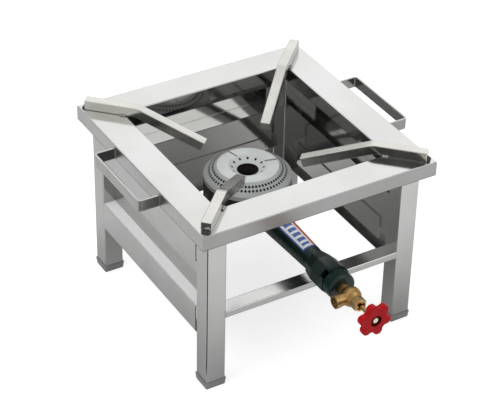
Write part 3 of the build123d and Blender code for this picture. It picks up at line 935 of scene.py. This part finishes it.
# The left one's ledge is painted matt white besides, as a painted highlight.
LEDGE_SHEET = by_grain(PaintedBrightLedge, "painted_bright_ledge_stretcher", **LEDGE_STEEL)
# The front one is polished a little brighter than the legs, and its colour is painted slightly darker than
# the sheet's, as shade.
FRONT_STEEL = {**STEEL, "colour": "#abacab", "roughness": 0.2}
FRONT_STRETCHER = PolishedStainless("bright_front_stretcher", grain=Grain.ALONG_X, **FRONT_STEEL)
# The handles are sheared strip, left as rolled: greyer and duller than the buffed sheet, with painted shade
# on their inner faces and on their arms' front and back faces.
HANDLE_STRIP = PolishedStainless(
    "rolled_stainless_strip",
    "#a6a7a5",
    "#9c9d9b",
    roughness=0.32,
    patch_mm=40.0,
    grain=Grain.ALONG_Y,
    inside_roughness=0.2,
    inside_shade=0.38,
    end_shade=0.2,
)
# The supports' square bar is cold-drawn and only linished: a little duller than the sheet.
DRAWN_BAR = LinishedBar(
    "linished_stainless_bar",
    "#b3b2ad",
    "#a8a7a2",
    roughness=0.16,
    patch_mm=45.0,
    inside_roughness=0.34,
    wave_mm=40.0,
    wave_depth_mm=0.1,
    line_length_mm=40.0,
    line_depth_mm=0.0008,
)
# Welds ripple in short waves.
RIPPLES = {"wave_mm": 3.0, "line_length_mm": 2.0}
# The handles' welds, brushed flat: small grey ripples.
HANDLE_WELD = PolishedStainless(
    "brushed_handle_weld", "#8b8986", "#6f6d69", roughness=0.34, patch_mm=4.0, wave_depth_mm=0.05, **RIPPLES
)
# A tungsten-arc weld on stainless: bright, slightly straw-coloured ripples.
WELD = PolishedStainless(
    "stainless_weld", "#9a9a92", "#7c7b72", roughness=0.3, patch_mm=4.0, wave_depth_mm=0.05, **RIPPLES
)
# The heavier welds at the bars' ends, left unbrushed: dark oxide with bright glints.
DARK_WELD = PolishedStainless(
    "oxidised_stainless_weld",
    "#4c4945",
    "#2c2a28",
    roughness=0.16,
    patch_mm=3.0,
    wave_depth_mm=0.12,
    **RIPPLES,
)
# Grey cast iron under a light heat-proof paint: dull and chalky, with the sand showing through.
COATED_CAP = PortedCap(
    "painted_cast_iron_cap",
    "#c7cbc9",
    "#bdc1bf",
    roughness=0.55,
    patch_mm=30.0,
    sand_mm=1.4,
    sand_depth_mm=0.06,
)
# The same iron left black: nearly no shine.
BLACK_IRON = SandCast(
    "black_cast_iron",
    "#1f1f1f",
    "#2a2826",
    roughness=0.6,
    patch_mm=25.0,
    specular=0.3,
    sand_mm=2.0,
    sand_depth_mm=0.14,
)
# Dark green enamel over cast iron: deep colour with soft highlights, broken up by the casting.
GREEN_ENAMEL = SandCast(
    "green_enamelled_iron",
    "#102723",
    "#0b1f1c",
    roughness=0.3,
    patch_mm=30.0,
    specular=0.22,
    coat=0.1,
    sand_mm=2.4,
    sand_depth_mm=0.10,
)
# Sand-cast brass: sandy yellow-brown, with a grainy shine.
CAST_BRASS = SandCast(
    "cast_brass",
    "#a48556",
    "#86683f",
    roughness=0.4,
    patch_mm=9.0,
    metallic=1.0,
    sand_mm=0.9,
    sand_depth_mm=0.035,
)
# Brass turned on a lathe: brighter than the casting, with fine rings.
TURNED_BRASS = Turned("turned_brass", "#b89868", "#a38355", roughness=0.28, patch_mm=12.0)
# Zinc-plated steel screws and washers: pale, slightly blue and matt.
PLATED_STEEL = Turned("zinc_plated_steel", "#c3c6c8", "#b2b5b8", roughness=0.32, patch_mm=6.0)
# The handwheel's screw, passivated: nearly white, with a trace of gold.
PASSIVATED_SCREW = Turned("passivated_steel_screw", "#dcd6c0", "#c6c0a6", roughness=0.26, patch_mm=3.0)
# Red moulded phenolic: saturated, with a soft gloss.
RED_PLASTIC = WheelPlastic(
    "red_moulded_plastic", "#b3131a", "#a51017", roughness=0.36, patch_mm=18.0, specular=0.1
)
# Grey moulded plastic of the foot caps: dull.
FOOT_PLASTIC = Moulded(
    "grey_moulded_plastic",
    "#8e8e90",
    "#858587",
    roughness=0.55,
    patch_mm=14.0,
    peel_mm=1.2,
    peel_depth_mm=0.03,
)
# Graphited packing cord, pressed: almost black.
PACKING = Moulded(
    "graphite_packing", "#3a3936", "#2f2e2c", roughness=0.6, patch_mm=3.0, peel_mm=0.6, peel_depth_mm=0.05
)
# Gloss polyester film: white and smooth.
LABEL_FILM = PrintedFilm("plain_printed_film", "#e4e7ee", "#dfe3ec", roughness=0.22, patch_mm=10.0)

# The sheets on each side of the stand are rolled and buffed along it.
SIDE_GRAIN = {"front": Grain.ALONG_X, "back": Grain.ALONG_X, "left": Grain.ALONG_Y, "right": Grain.ALONG_Y}


def dress(node: str, finish: Finish) -> None:
    """Gives a CAD node its finish.

    Args:
        node: the node's name.
        finish: the finish that all its faces take.
    """
    thing = frame["nodes"][node]
    if not thing.material_slots:
        thing.data.materials.append(None)
    for holder in thing.material_slots:
        holder.material = finish.material()
    log.info("%s: %s", node, finish.name)


def mesh_object(name: str, mesh: bmesh.types.BMesh) -> bpy.types.Object:
    """Makes an object of a mesh and puts it in the scene.

    Args:
        name: the object's name.
        mesh: its shape in the row frame, in metres. It is freed.

    Returns:
        The new object.
    """
    data = bpy.data.meshes.new(name)
    mesh.to_mesh(data)
    mesh.free()
    made = bpy.data.objects.new(name, data)
    bpy.context.scene.collection.objects.link(made)
    return made


def new_piece(name: str, mesh: bmesh.types.BMesh, finish: Finish, body: str) -> bpy.types.Object:
    """Makes a visible piece of a mesh, with its finish, riding on a body.

    Args:
        name: the piece's name.
        mesh: its shape in the row frame, in metres. It is freed.
        finish: its finish.
        body: the CAD body that it moves with.

    Returns:
        The new object.
    """
    bmesh.ops.recalc_face_normals(mesh, faces=mesh.faces)
    piece = mesh_object(name, mesh)
    piece.data.shade_smooth()
    piece.data.materials.append(finish.material())
    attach(piece, body)
    log.info("%s: %d faces, rides on %s", name, len(piece.data.polygons), body)
    return piece


def add_skin(mesh: bmesh.types.BMesh, rings: list[list[bmesh.types.BMVert]]) -> None:
    """Joins a row of rings of points to a closed skin, with an end face on the first and the last.

    Args:
        mesh: the mesh that has the points.
        rings: the rings, each with the same number of points.
    """
    for near, far in zip(rings, rings[1:]):
        for i in range(len(near)):
            j = (i + 1) % len(near)
            mesh.faces.new((near[i], near[j], far[j], far[i]))
    mesh.faces.new(rings[0][::-1])
    mesh.faces.new(rings[-1])


@dataclass
class WeldBead:
    """A rippled weld bead laid along an inside corner.

    Attributes:
        start: one end of the corner line, in metres.
        end: the other end.
        first_face: direction along the first of the two joined faces, away from the corner.
        second_face: direction along the second face.
        leg_mm: how far the bead reaches over each face.
        ripple_mm: distance between ripples.
        ripple_share: how much lower the bead is between ripples, as a share of its height.
        hollow: how much flatter it is in the middle than a round one, as a share of its height.
        end_share: its section right at its ends, as a share of the full one.
        end_rise: how fast the section grows from there, in full ones per leg_mm.
        arc_points: number of points across it.
        rings_per_ripple: number of sections in one ripple.
    """

    start: Vector
    end: Vector
    first_face: Vector
    second_face: Vector
    leg_mm: float = 2.4
    ripple_mm: float = 1.3
    ripple_share: float = 0.14
    hollow: float = 0.18
    end_share: float = 0.35
    end_rise: float = 4.0
    arc_points: int = 7
    rings_per_ripple: int = 4

    def add_to(self, mesh: bmesh.types.BMesh) -> None:
        """Adds the bead's closed skin to a mesh.

        Args:
            mesh: the mesh that gets it.
        """
        length = (self.end - self.start).length
        ripples = max(2, round(length / (self.ripple_mm * MM)))
        last = ripples * self.rings_per_ripple
        add_skin(mesh, [self.section(mesh, step / last, length, ripples) for step in range(last + 1)])

    def section(
        self, mesh: bmesh.types.BMesh, along: float, length: float, ripples: int
    ) -> list[bmesh.types.BMVert]:
        """Adds the points of one section to a mesh.

        Args:
            mesh: the mesh that gets them.
            along: the section's place, from 0 at the start to 1 at the end.
            length: the bead's length, in metres.
            ripples: the number of its ripples.

        Returns:
            The points: the corner's, and then those across the bead.
        """
        phase = (along * ripples) % 1.0
        swell = 1 - self.ripple_share + self.ripple_share * math.sin(math.pi * phase)
        from_end = min(along, 1 - along) * length / (self.leg_mm * MM)
        reach = self.leg_mm * MM * swell * math.sqrt(min(1.0, self.end_rise * from_end + self.end_share))
        centre = self.start.lerp(self.end, along)
        points = [mesh.verts.new(centre)]
        for point in range(self.arc_points):
            turn = point / (self.arc_points - 1) * math.pi / 2
            crown = 1 - self.hollow + self.hollow * abs(math.cos(2 * turn))
            way = self.first_face * math.cos(turn) + self.second_face * math.sin(turn)
            points.append(mesh.verts.new(centre + way * reach * crown))
        return points


@dataclass
class TopFrame:
    """The mitred top frame: four folded strips."""

    def build(self) -> None:
        """Dresses the strips, each buffed along its own length."""
        for side, grain in SIDE_GRAIN.items():
            dress(f"top_strip_{side}", TOP_SHEET[grain])


@dataclass
class Stand:
    """Legs, foot caps, rails, wall sheets and stretchers under the top frame.

    Attributes:
        corners: where the legs stand.
        walls: the sides that are closed by a wall sheet.
        bright_ledge_side: the side whose stretcher's ledge is painted matt white as a highlight.
        seam_tack_mm: length of the tacks that hold the seam strips.
        seam_tack_leg_mm: how far they reach over each face.
    """

    corners: tuple[str, ...] = ("front_left", "front_right", "back_left", "back_right")
    walls: tuple[str, ...] = ("left", "right", "back")
    bright_ledge_side: str = "left"
    seam_tack_mm: float = 20.0
    seam_tack_leg_mm: float = 1.9

    def build(self) -> None:
        """Dresses every piece of the stand and tacks the seam strips."""
        for corner in self.corners:
            dress(f"leg_{corner}", STAINLESS[Grain.ALONG_Z])
            dress(f"foot_cap_{corner}", FOOT_PLASTIC)
        for side in self.walls:
            stretcher = LEDGE_SHEET if side == self.bright_ledge_side else STRETCHER_SHEET
            dress(f"upper_rail_{side}", RAIL_SHEET[SIDE_GRAIN[side]])
            dress(f"panel_{side}", WALL_SHEET[SIDE_GRAIN[side]])
            dress(f"panel_seam_{side}", SEAM_STRIP[SIDE_GRAIN[side]])
            dress(f"stretcher_{side}", stretcher[SIDE_GRAIN[side]])
        dress("stretcher_front", FRONT_STRETCHER)
        for end in ("front", "back"):
            dress(f"cross_bar_{end}", STAINLESS[Grain.ALONG_X])
        self.seam_tacks()

    def seam_tacks(self) -> None:
        """Lays an upright tack at both ends of each seam strip, against its wall sheet."""
        tacks = bmesh.new()
        for side, outward in (("left", (-1, 0, 0)), ("right", (1, 0, 0)), ("back", (0, 1, 0))):
            low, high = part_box(f"panel_seam_{side}")
            out = Vector(outward)
            along = Vector((abs(out.y), abs(out.x), 0))
            half = (high - low) / 2
            depth = abs(half.dot(out))
            for end in (-1, 1):
                corner = (low + high) / 2 + out * depth + along * end * half.dot(along)
                WeldBead(
                    Vector((corner.x, corner.y, high.z - self.seam_tack_mm * MM)),
                    Vector((corner.x, corner.y, high.z)),
                    -out,
                    along * end,
                    leg_mm=self.seam_tack_leg_mm,
                ).add_to(tacks)
        new_piece("wall_seam_tacks", tacks, WELD, STAND)


@dataclass
class Handles:
    """The two carrying handles and the beads that join them to the skirt.

    Attributes:
        strip_mm: thickness of the handles' strip.
        bead_leg_mm: how far a bead reaches over each face.
    """

    strip_mm: float = 3.0
    bead_leg_mm: float = 1.8

    def build(self) -> None:
        """Dresses the handles and lays their eight beads."""
        beads = bmesh.new()
        for side in ("left", "right"):
            dress(f"handle_{side}", HANDLE_STRIP)
            self.weld(side, beads)
        piece = new_piece("handle_weld_beads", beads, HANDLE_WELD, STAND)
        dress("handle_welds", HANDLE_WELD)
        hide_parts("handle_welds")

    def weld(self, side: str, beads: bmesh.types.BMesh) -> None:
        """Lays a bead on both faces of each end of one handle.

        Args:
            side: "left" or "right".
            beads: the mesh that gets them.
        """
        low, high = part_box(f"handle_{side}")
        out = Vector((-1 if side == "left" else 1, 0, 0))
        skirt_x = high.x if side == "left" else low.x
        for end_y, away in ((low.y, -1), (high.y, 1)):
            for face_y, reach in ((end_y, away), (end_y - away * self.strip_mm * MM, -away)):
                foot, head = Vector((skirt_x, face_y, low.z)), Vector((skirt_x, face_y, high.z))
                WeldBead(foot, head, out, Vector((0, reach, 0)), leg_mm=self.bead_leg_mm).add_to(beads)


@dataclass
class PotSupports:
    """The four bent bars and the tack welds that hold them on the frame's corners.

    Attributes:
        half_bar_mm: half the width of a bar.
        tack_start_mm: from the middle of the stand to the near end of a tack.
        tack_mm: length of a tack.
        tack_leg_mm: how far it reaches over each face.
        outer_end_mm: from the middle of the stand to a bar's outer end.
        end_weld_mm: length of the weld across that end.
        end_weld_leg_mm: how far it reaches over each face.
        end_ripple_mm: distance between its ripples.
        corners: for each bar, its direction from the middle of the stand, in degrees.
    """

    half_bar_mm: float = 8.0
    tack_start_mm: float = 200.5
    tack_mm: float = 10.0
    tack_leg_mm: float = 3.0
    outer_end_mm: float = 268.0
    end_weld_mm: float = 12.0
    end_weld_leg_mm: float = 5.0
    end_ripple_mm: float = 2.6
    corners: tuple[tuple[str, float], ...] = (
        ("front_left", 225.0),
        ("front_right", 315.0),
        ("back_left", 135.0),
        ("back_right", 45.0),
    )

    def build(self) -> None:
        """Dresses the bars, and lays a tack on each side and a weld across the end of each bar."""
        tacks, end_welds = bmesh.new(), bmesh.new()
        for corner, turn in self.corners:
            dress(f"pot_support_{corner}", DRAWN_BAR)
            self.weld(turn, tacks, end_welds)
        new_piece("support_tack_welds", tacks, WELD, STAND)
        new_piece("support_end_welds", end_welds, DARK_WELD, STAND)

    def weld(self, turn: float, tacks: bmesh.types.BMesh, end_welds: bmesh.types.BMesh) -> None:
        """Lays the welds of one bar, in the corner between the bar and the frame's top.

        Args:
            turn: the bar's direction from the middle of the stand, in degrees.
            tacks: the mesh that gets the tacks at its sides.
            end_welds: the mesh that gets the weld across its outer end.
        """
        left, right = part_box("top_strip_left"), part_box("top_strip_right")
        middle = (left[0] + right[1]) / 2
        middle.z = left[1].z
        up = Vector((0, 0, 1))
        out = Vector((math.cos(math.radians(turn)), math.sin(math.radians(turn)), 0))
        half_weld = Vector((-out.y, out.x, 0)) * self.end_weld_mm / 2 * MM
        end = middle + out * self.outer_end_mm * MM
        WeldBead(
            end - half_weld,
            end + half_weld,
            out,
            up,
            leg_mm=self.end_weld_leg_mm,
            ripple_mm=self.end_ripple_mm,
        ).add_to(end_welds)
        for side in (-1, 1):
            across = Vector((-out.y, out.x, 0)) * side
            foot = middle + across * self.half_bar_mm * MM
            start = foot + out * self.tack_start_mm * MM
            stop = foot + out * (self.tack_start_mm + self.tack_mm) * MM
            WeldBead(start, stop, across, up, leg_mm=self.tack_leg_mm).add_to(tacks)


@dataclass
class Burner:
    """The cast ring: black body below, painted cap above, and what holds it."""

    def build(self) -> None:
        """Dresses the castings and their bolts."""
        dress("burner_body", BLACK_IRON)
        dress("burner_cap", COATED_CAP)
        dress("burner_bolts", PLATED_STEEL)
        dress("burner_washers", PLATED_STEEL)


@dataclass
class GasTrain:
    """Mixing tube, its plain film, the air mixer and the jet."""

    def build(self) -> None:
        """Dresses the enamelled castings, the film and the jet."""
        dress("mixing_tube", GREEN_ENAMEL)
        dress("air_mixer", GREEN_ENAMEL)
        dress("tube_label", LABEL_FILM)
        dress("gas_jet", TURNED_BRASS)


@dataclass
class Valve:
    """The brass valve with its handwheel.

    Attributes:
        inlet_bore_mm: radius of the inlet's bore.
        thread_depth_mm: depth of the inlet's thread.
        thread_root_mm: how far the thread's foot is sunk in the bore's wall.
        thread_pitch_mm: its pitch.
        thread_length_mm: how far the thread goes in.
        run_in: depth at the thread's very ends, as a share of the full one.
        points_per_turn: number of sections in one turn.
    """

    inlet_bore_mm: float = 7.5
    thread_depth_mm: float = 0.75
    thread_root_mm: float = 0.05
    thread_pitch_mm: float = 1.34
    thread_length_mm: float = 11.0
    run_in: float = 0.05
    points_per_turn: int = 40

    def build(self) -> None:
        """Dresses the valve and lays the inlet's thread in its bore."""
        dress("valve_body", CAST_BRASS)
        for node in ("bonnet", "gland_bush", "valve_disc", "spindle"):
            dress(node, TURNED_BRASS)
        dress("gland_packing", PACKING)
        dress("handwheel", RED_PLASTIC)
        dress("handwheel_screw", PASSIVATED_SCREW)
        self.inlet_thread()

    def inlet_thread(self) -> None:
        """Winds the inlet's thread: a ridge of triangular section round the bore."""
        mouth_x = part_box("valve_body")[0].x
        _, bore_y, axis_z = GAS_INLET["pos_m"]
        pitch = self.thread_pitch_mm * MM
        last = int(self.thread_length_mm / self.thread_pitch_mm * self.points_per_turn)
        mesh = bmesh.new()
        rings = []
        for step in range(last + 1):
            turns = step / self.points_per_turn
            taper = min(1.0, turns, (last - step) / self.points_per_turn)
            depth_mm = self.thread_depth_mm * max(self.run_in, taper)
            ring = []
            for shift, sunk_mm in ((-0.5, self.thread_root_mm), (0.0, -depth_mm), (0.5, self.thread_root_mm)):
                reach = (self.inlet_bore_mm + sunk_mm) * MM
                x = mouth_x + (1 + turns + shift) * pitch
                y = bore_y + reach * math.cos(2 * math.pi * turns)
                z = axis_z + reach * math.sin(2 * math.pi * turns)
                ring.append(mesh.verts.new((x, y, z)))
            rings.append(ring)
        add_skin(mesh, rings)
        new_piece("inlet_thread_ridge", mesh, TURNED_BRASS, STAND)


@dataclass
class Studio:
    """White floor and surroundings, soft boxes, dark cards and the camera.

    Attributes:
        azimuth: where the camera stands, in degrees; 0 looks along +Y.
        elevation: its height over the horizon, in degrees.
        roll: its tilt, in degrees.
        distance_m: from the point that it looks at.
        target_m: that point.
        sensor_mm: width of its sensor.
        lens_mm: its focal length.
        lamp_distance_m: from that point to each soft box.
        lamp_power: watts for a square metre of soft box that looks as bright as white.
        floor_radius_m: radius of the floor.
        floor_colour: the floor where it lights the object, sRGB hex.
        floor_glow: what lifts it to white for the camera.
        mirrored_glow: what lifts it in mirror-like faces.
        front_glow: how much more it is lifted there in front of the stand.
        front_reach_m: how far in front that starts, and is complete.
        stand_half_m: half the width of the stand, whose shade lies on the mirrored floor.
        shade_m: how far round the stand that shade fades out.
        shaded_share: how much of the lift is left in the shade.
        floor_card_m: width and depth of the dark card on the floor.
        floor_card_gap_m: how far it lies outside the stand's left, and reaches behind the stand's front.
        floor_card_lift_m: its height over the floor.
        floor_card_shade: how bright it looks, where white is 1.
        surround: the surroundings' light on matt surfaces, where white is 1.
    """

    azimuth: float = -31.277
    elevation: float = 35.123
    roll: float = 1.342
    distance_m: float = 2.8372
    target_m: tuple[float, float, float] = (-0.0029, 0.0745, 0.1559)
    sensor_mm: float = 36.0
    lens_mm: float = 130.5
    lamp_distance_m: float = 2.4
    lamp_power: float = 4.0
    floor_radius_m: float = 9.0
    floor_colour: str = "#c9c9c9"
    floor_glow: float = 0.66
    mirrored_glow: float = 0.32
    front_glow: float = 0.36
    front_reach_m: tuple[float, float] = (0.05, 0.3)
    stand_half_m: float = 0.2
    shade_m: float = 0.1
    shaded_share: float = 0.27
    floor_card_m: tuple[float, float] = (0.5, 0.6)
    floor_card_gap_m: tuple[float, float] = (0.015, 0.06)
    floor_card_lift_m: float = 0.001
    floor_card_shade: float = 0.08
    surround: float = 0.62

    def build(self) -> None:
        """Sets the colour transform and makes the floor, surroundings, lamps, cards and camera."""
        bpy.context.scene.view_settings.view_transform = "Standard"
        self.floor()
        self.world()
        self.soft_box("back_right_soft_box", azimuth=140, elevation=42, size_m=(2.6, 1.6), radiance=0.61)
        self.soft_box("left_soft_box", azimuth=-72, elevation=42, size_m=(1.1, 1.0), radiance=1.0)
        self.soft_box("front_right_soft_box", azimuth=31, elevation=38, size_m=(1.3, 1.1), radiance=1.5)
        self.soft_box("overhead_soft_box", azimuth=-177, elevation=76, size_m=(1.2, 1.0), radiance=0.6)
        self.soft_box(
            "left_fill", azimuth=-95, elevation=45, size_m=(1.3, 1.2), radiance=2.2, mirrored=False
        )
        self.flag(
            "front_left_flag", azimuth=-44.1, elevation=39.9, size_m=(0.44, 1.1), distance_m=1.55, shade=0.04
        )
        self.flag("low_back_flag", azimuth=172, elevation=12, size_m=(1.1, 0.45), distance_m=2.0, shade=0.3)
        self.floor_card()
        self.camera()

    def floor(self) -> None:
        """Lays the floor: pale and matt, lifted to white where the camera and reflections see it."""
        mesh = bmesh.new()
        bmesh.ops.create_circle(mesh, cap_ends=True, segments=96, radius=self.floor_radius_m)
        floor = mesh_object("studio_floor", mesh)
        paper = bpy.data.materials.new("white_paper")
        tree = empty_tree(paper)
        in_front = add_node(
            tree,
            "MapRange",
            {
                "Value": self.ahead(tree),
                "From Min": self.front_reach_m[0],
                "From Max": self.front_reach_m[1],
                "To Min": self.mirrored_glow,
                "To Max": self.mirrored_glow + self.front_glow,
            },
            interpolation_type="SMOOTHSTEP",
        )
        glossy, away = self.seen_by(tree, "Is Glossy Ray"), self.away_from_stand(tree)
        mirrored = add_node(tree, "Math", {0: glossy, 1: away}, operation="MULTIPLY")
        mirrored = add_node(tree, "Math", {0: mirrored, 1: in_front}, operation="MULTIPLY")
        seen = self.seen_by(tree, "Is Camera Ray", "Is Transmission Ray")
        seen = add_node(tree, "Math", {0: seen, 1: self.floor_glow}, operation="MULTIPLY")
        glow = add_node(tree, "Math", {0: seen, 1: mirrored}, operation="MAXIMUM")
        matt = add_node(tree, "BsdfDiffuse", {"Color": linear(self.floor_colour)})
        lift = add_node(tree, "Emission", {"Strength": glow})
        both = add_node(tree, "AddShader", {0: matt, 1: lift})
        add_node(tree, "OutputMaterial", {"Surface": both})
        floor.data.materials.append(paper)
        log.info("studio_floor: %.1f m across", 2 * self.floor_radius_m)

    def seen_by(self, tree: Nodes, *rays: str) -> Socket:
        """Tells which rays meet the surface.

        Args:
            tree: the material's or the world's nodes.
            rays: names of kinds of rays.

        Returns:
            1 for a ray of one of these kinds, and 0 for any other.
        """
        kinds = add_node(tree, "LightPath").node.outputs
        seen = kinds[rays[0]]
        for ray in rays[1:]:
            seen = add_node(tree, "Math", {0: seen, 1: kinds[ray]}, operation="MAXIMUM")
        return seen

    def ahead(self, tree: Nodes) -> Socket:
        """Measures how far a place on the floor lies in front of the stand.

        Args:
            tree: the floor's nodes.

        Returns:
            The distance, in metres.
        """
        place = add_node(tree, "NewGeometry", output="Position")
        y = add_node(tree, "SeparateXYZ", {0: place}, output="Y")
        return add_node(tree, "Math", {0: STAND_LOW.y, 1: y}, operation="SUBTRACT")

    def away_from_stand(self, tree: Nodes) -> Socket:
        """Shades the floor between the legs and a hand's breadth round them.

        Args:
            tree: the floor's nodes.

        Returns:
            shaded_share between the legs, rising to 1 outside.
        """
        middle = (CAD_BOUNDS[0] + CAD_BOUNDS[1]) / 2
        middle.y = CAD_BOUNDS[1].y - self.stand_half_m
        place = add_node(tree, "NewGeometry", output="Position")
        shift = add_node(tree, "VectorMath", {0: place, 1: middle}, operation="SUBTRACT")
        size = add_node(tree, "VectorMath", {0: shift}, operation="ABSOLUTE")
        x, y, _ = add_node(tree, "SeparateXYZ", {0: size}).node.outputs
        return add_node(
            tree,
            "MapRange",
            {
                "Value": add_node(tree, "Math", {0: x, 1: y}, operation="MAXIMUM"),
                "From Min": self.stand_half_m,
                "From Max": self.stand_half_m + self.shade_m,
                "To Min": self.shaded_share,
            },
            interpolation_type="SMOOTHSTEP",
        )

    def world(self) -> None:
        """Makes the surroundings: white to look at, and a plain soft light for matt surfaces."""
        world = bpy.data.worlds.new("white_surroundings")
        bpy.context.scene.world = world
        tree = empty_tree(world)
        seen = self.seen_by(tree, "Is Camera Ray", "Is Glossy Ray", "Is Transmission Ray")
        strength = add_node(tree, "MapRange", {"Value": seen, "To Min": self.surround, "To Max": 1.0})
        white = add_node(tree, "Background", {"Color": linear("#ffffff"), "Strength": strength})
        add_node(tree, "OutputWorld", {"Surface": white})

    def direction(self, azimuth: float, elevation: float) -> Vector:
        """The direction from the object towards a place in the studio.

        Args:
            azimuth: in degrees; 0 is in front of the object, at -Y, and 90 at +X.
            elevation: over the horizon, in degrees.

        Returns:
            A vector of length 1.
        """
        turn, rise = math.radians(azimuth), math.radians(elevation)
        level = math.cos(rise)
        return Vector((math.sin(turn) * level, -math.cos(turn) * level, math.sin(rise)))

    def soft_box(
        self,
        name: str,
        azimuth: float,
        elevation: float,
        size_m: tuple[float, float],
        radiance: float,
        mirrored: bool = True,
    ) -> None:
        """Hangs a soft box that faces the object.

        Args:
            name: the lamp's name.
            azimuth: where it hangs, in degrees.
            elevation: its height over the horizon, in degrees.
            size_m: its width and height.
            radiance: how much it adds to the white behind it in a mirror, where white is 1.
            mirrored: whether mirror-like faces show it.
        """
        lamp = bpy.data.lights.new(name, "AREA")
        lamp.shape = "RECTANGLE"
        lamp.size, lamp.size_y = size_m
        lamp.energy = radiance * self.lamp_power * size_m[0] * size_m[1]
        box = bpy.data.objects.new(name, lamp)
        away = self.direction(azimuth, elevation)
        box.location = Vector(self.target_m) + away * self.lamp_distance_m
        box.rotation_mode = "QUATERNION"
        box.rotation_quaternion = away.to_track_quat("Z", "Y")
        box.visible_camera = False
        box.visible_glossy = mirrored
        bpy.context.scene.collection.objects.link(box)
        log.info("%s: radiance %.2f", name, radiance)

    def flag(
        self,
        name: str,
        azimuth: float,
        elevation: float,
        size_m: tuple[float, float],
        distance_m: float,
        shade: float,
    ) -> None:
        """Stands a dark card in the surroundings, which only mirror-like faces show.

        Args:
            name: the card's name.
            azimuth: where it stands, in degrees.
            elevation: the height of its middle over the horizon, in degrees.
            size_m: its width and height.
            distance_m: from the object.
            shade: how bright it looks, where white is 1.
        """
        away = self.direction(azimuth, elevation)
        turn = away.to_track_quat("Z", "Y").to_matrix()
        self.card(name, Vector(self.target_m) + away * distance_m, turn.col[0], turn.col[1], size_m, shade)

    def floor_card(self) -> None:
        """Lays a dark card on the floor in front of the near left leg."""
        width, depth = self.floor_card_m
        x = STAND_LOW.x - self.floor_card_gap_m[0] - width / 2
        y = STAND_LOW.y + self.floor_card_gap_m[1] - depth / 2
        middle = Vector((x, y, self.floor_card_lift_m))
        right, back = Vector((1, 0, 0)), Vector((0, 1, 0))
        self.card("floor_flag", middle, right, back, self.floor_card_m, self.floor_card_shade)

    def card(
        self, name: str, middle: Vector, right: Vector, up: Vector, size_m: tuple[float, float], shade: float
    ) -> None:
        """Makes a flat card that is seen in mirror-like faces and nowhere else.

        Args:
            name: the card's name.
            middle: its middle.
            right: the direction of its width.
            up: the direction of its height.
            size_m: its width and height.
            shade: how bright it looks, where white is 1.
        """
        mesh = bmesh.new()
        half_right, half_up = right * size_m[0] / 2, up * size_m[1] / 2
        corners = (-half_right - half_up, half_right - half_up, half_right + half_up, half_up - half_right)
        mesh.faces.new([mesh.verts.new(middle + corner) for corner in corners])
        card = mesh_object(name, mesh)
        felt = bpy.data.materials.new(f"{name}_felt")
        tree = empty_tree(felt)
        dark = add_node(tree, "Emission", {"Strength": shade})
        add_node(tree, "OutputMaterial", {"Surface": dark})
        card.data.materials.append(felt)
        card.visible_camera = False
        card.visible_diffuse = False
        card.visible_shadow = False
        card.visible_transmission = False
        log.info("%s: shade %.2f", name, shade)

    def camera(self) -> None:
        """Sets up the camera at the photograph's angle."""
        lens = bpy.data.cameras.new("photo_camera")
        lens.sensor_width = self.sensor_mm
        lens.lens = self.lens_mm
        camera = bpy.data.objects.new("photo_camera", lens)
        back = self.direction(self.azimuth, self.elevation)
        right = Vector((0, 0, 1)).cross(back).normalized()
        up = back.cross(right)
        turn = math.radians(self.roll)
        rolled_right = right * math.cos(turn) + up * math.sin(turn)
        rolled_up = up * math.cos(turn) - right * math.sin(turn)
        axes = Matrix((rolled_right, rolled_up, back)).transposed().to_4x4()
        camera.matrix_world = Matrix.Translation(Vector(self.target_m) + back * self.distance_m) @ axes
        bpy.context.scene.collection.objects.link(camera)
        bpy.context.scene.camera = camera


def main() -> None:
    """Builds the range's sub-assemblies in order, then the studio."""
    logging.basicConfig(level=logging.INFO, format="%(name)s %(message)s")
    for part in (TopFrame(), Stand(), Handles(), PotSupports(), Burner(), GasTrain(), Valve(), Studio()):
        part.build()
        log.info("%s is built", type(part).__name__)


if __name__ == "__main__":
    main()
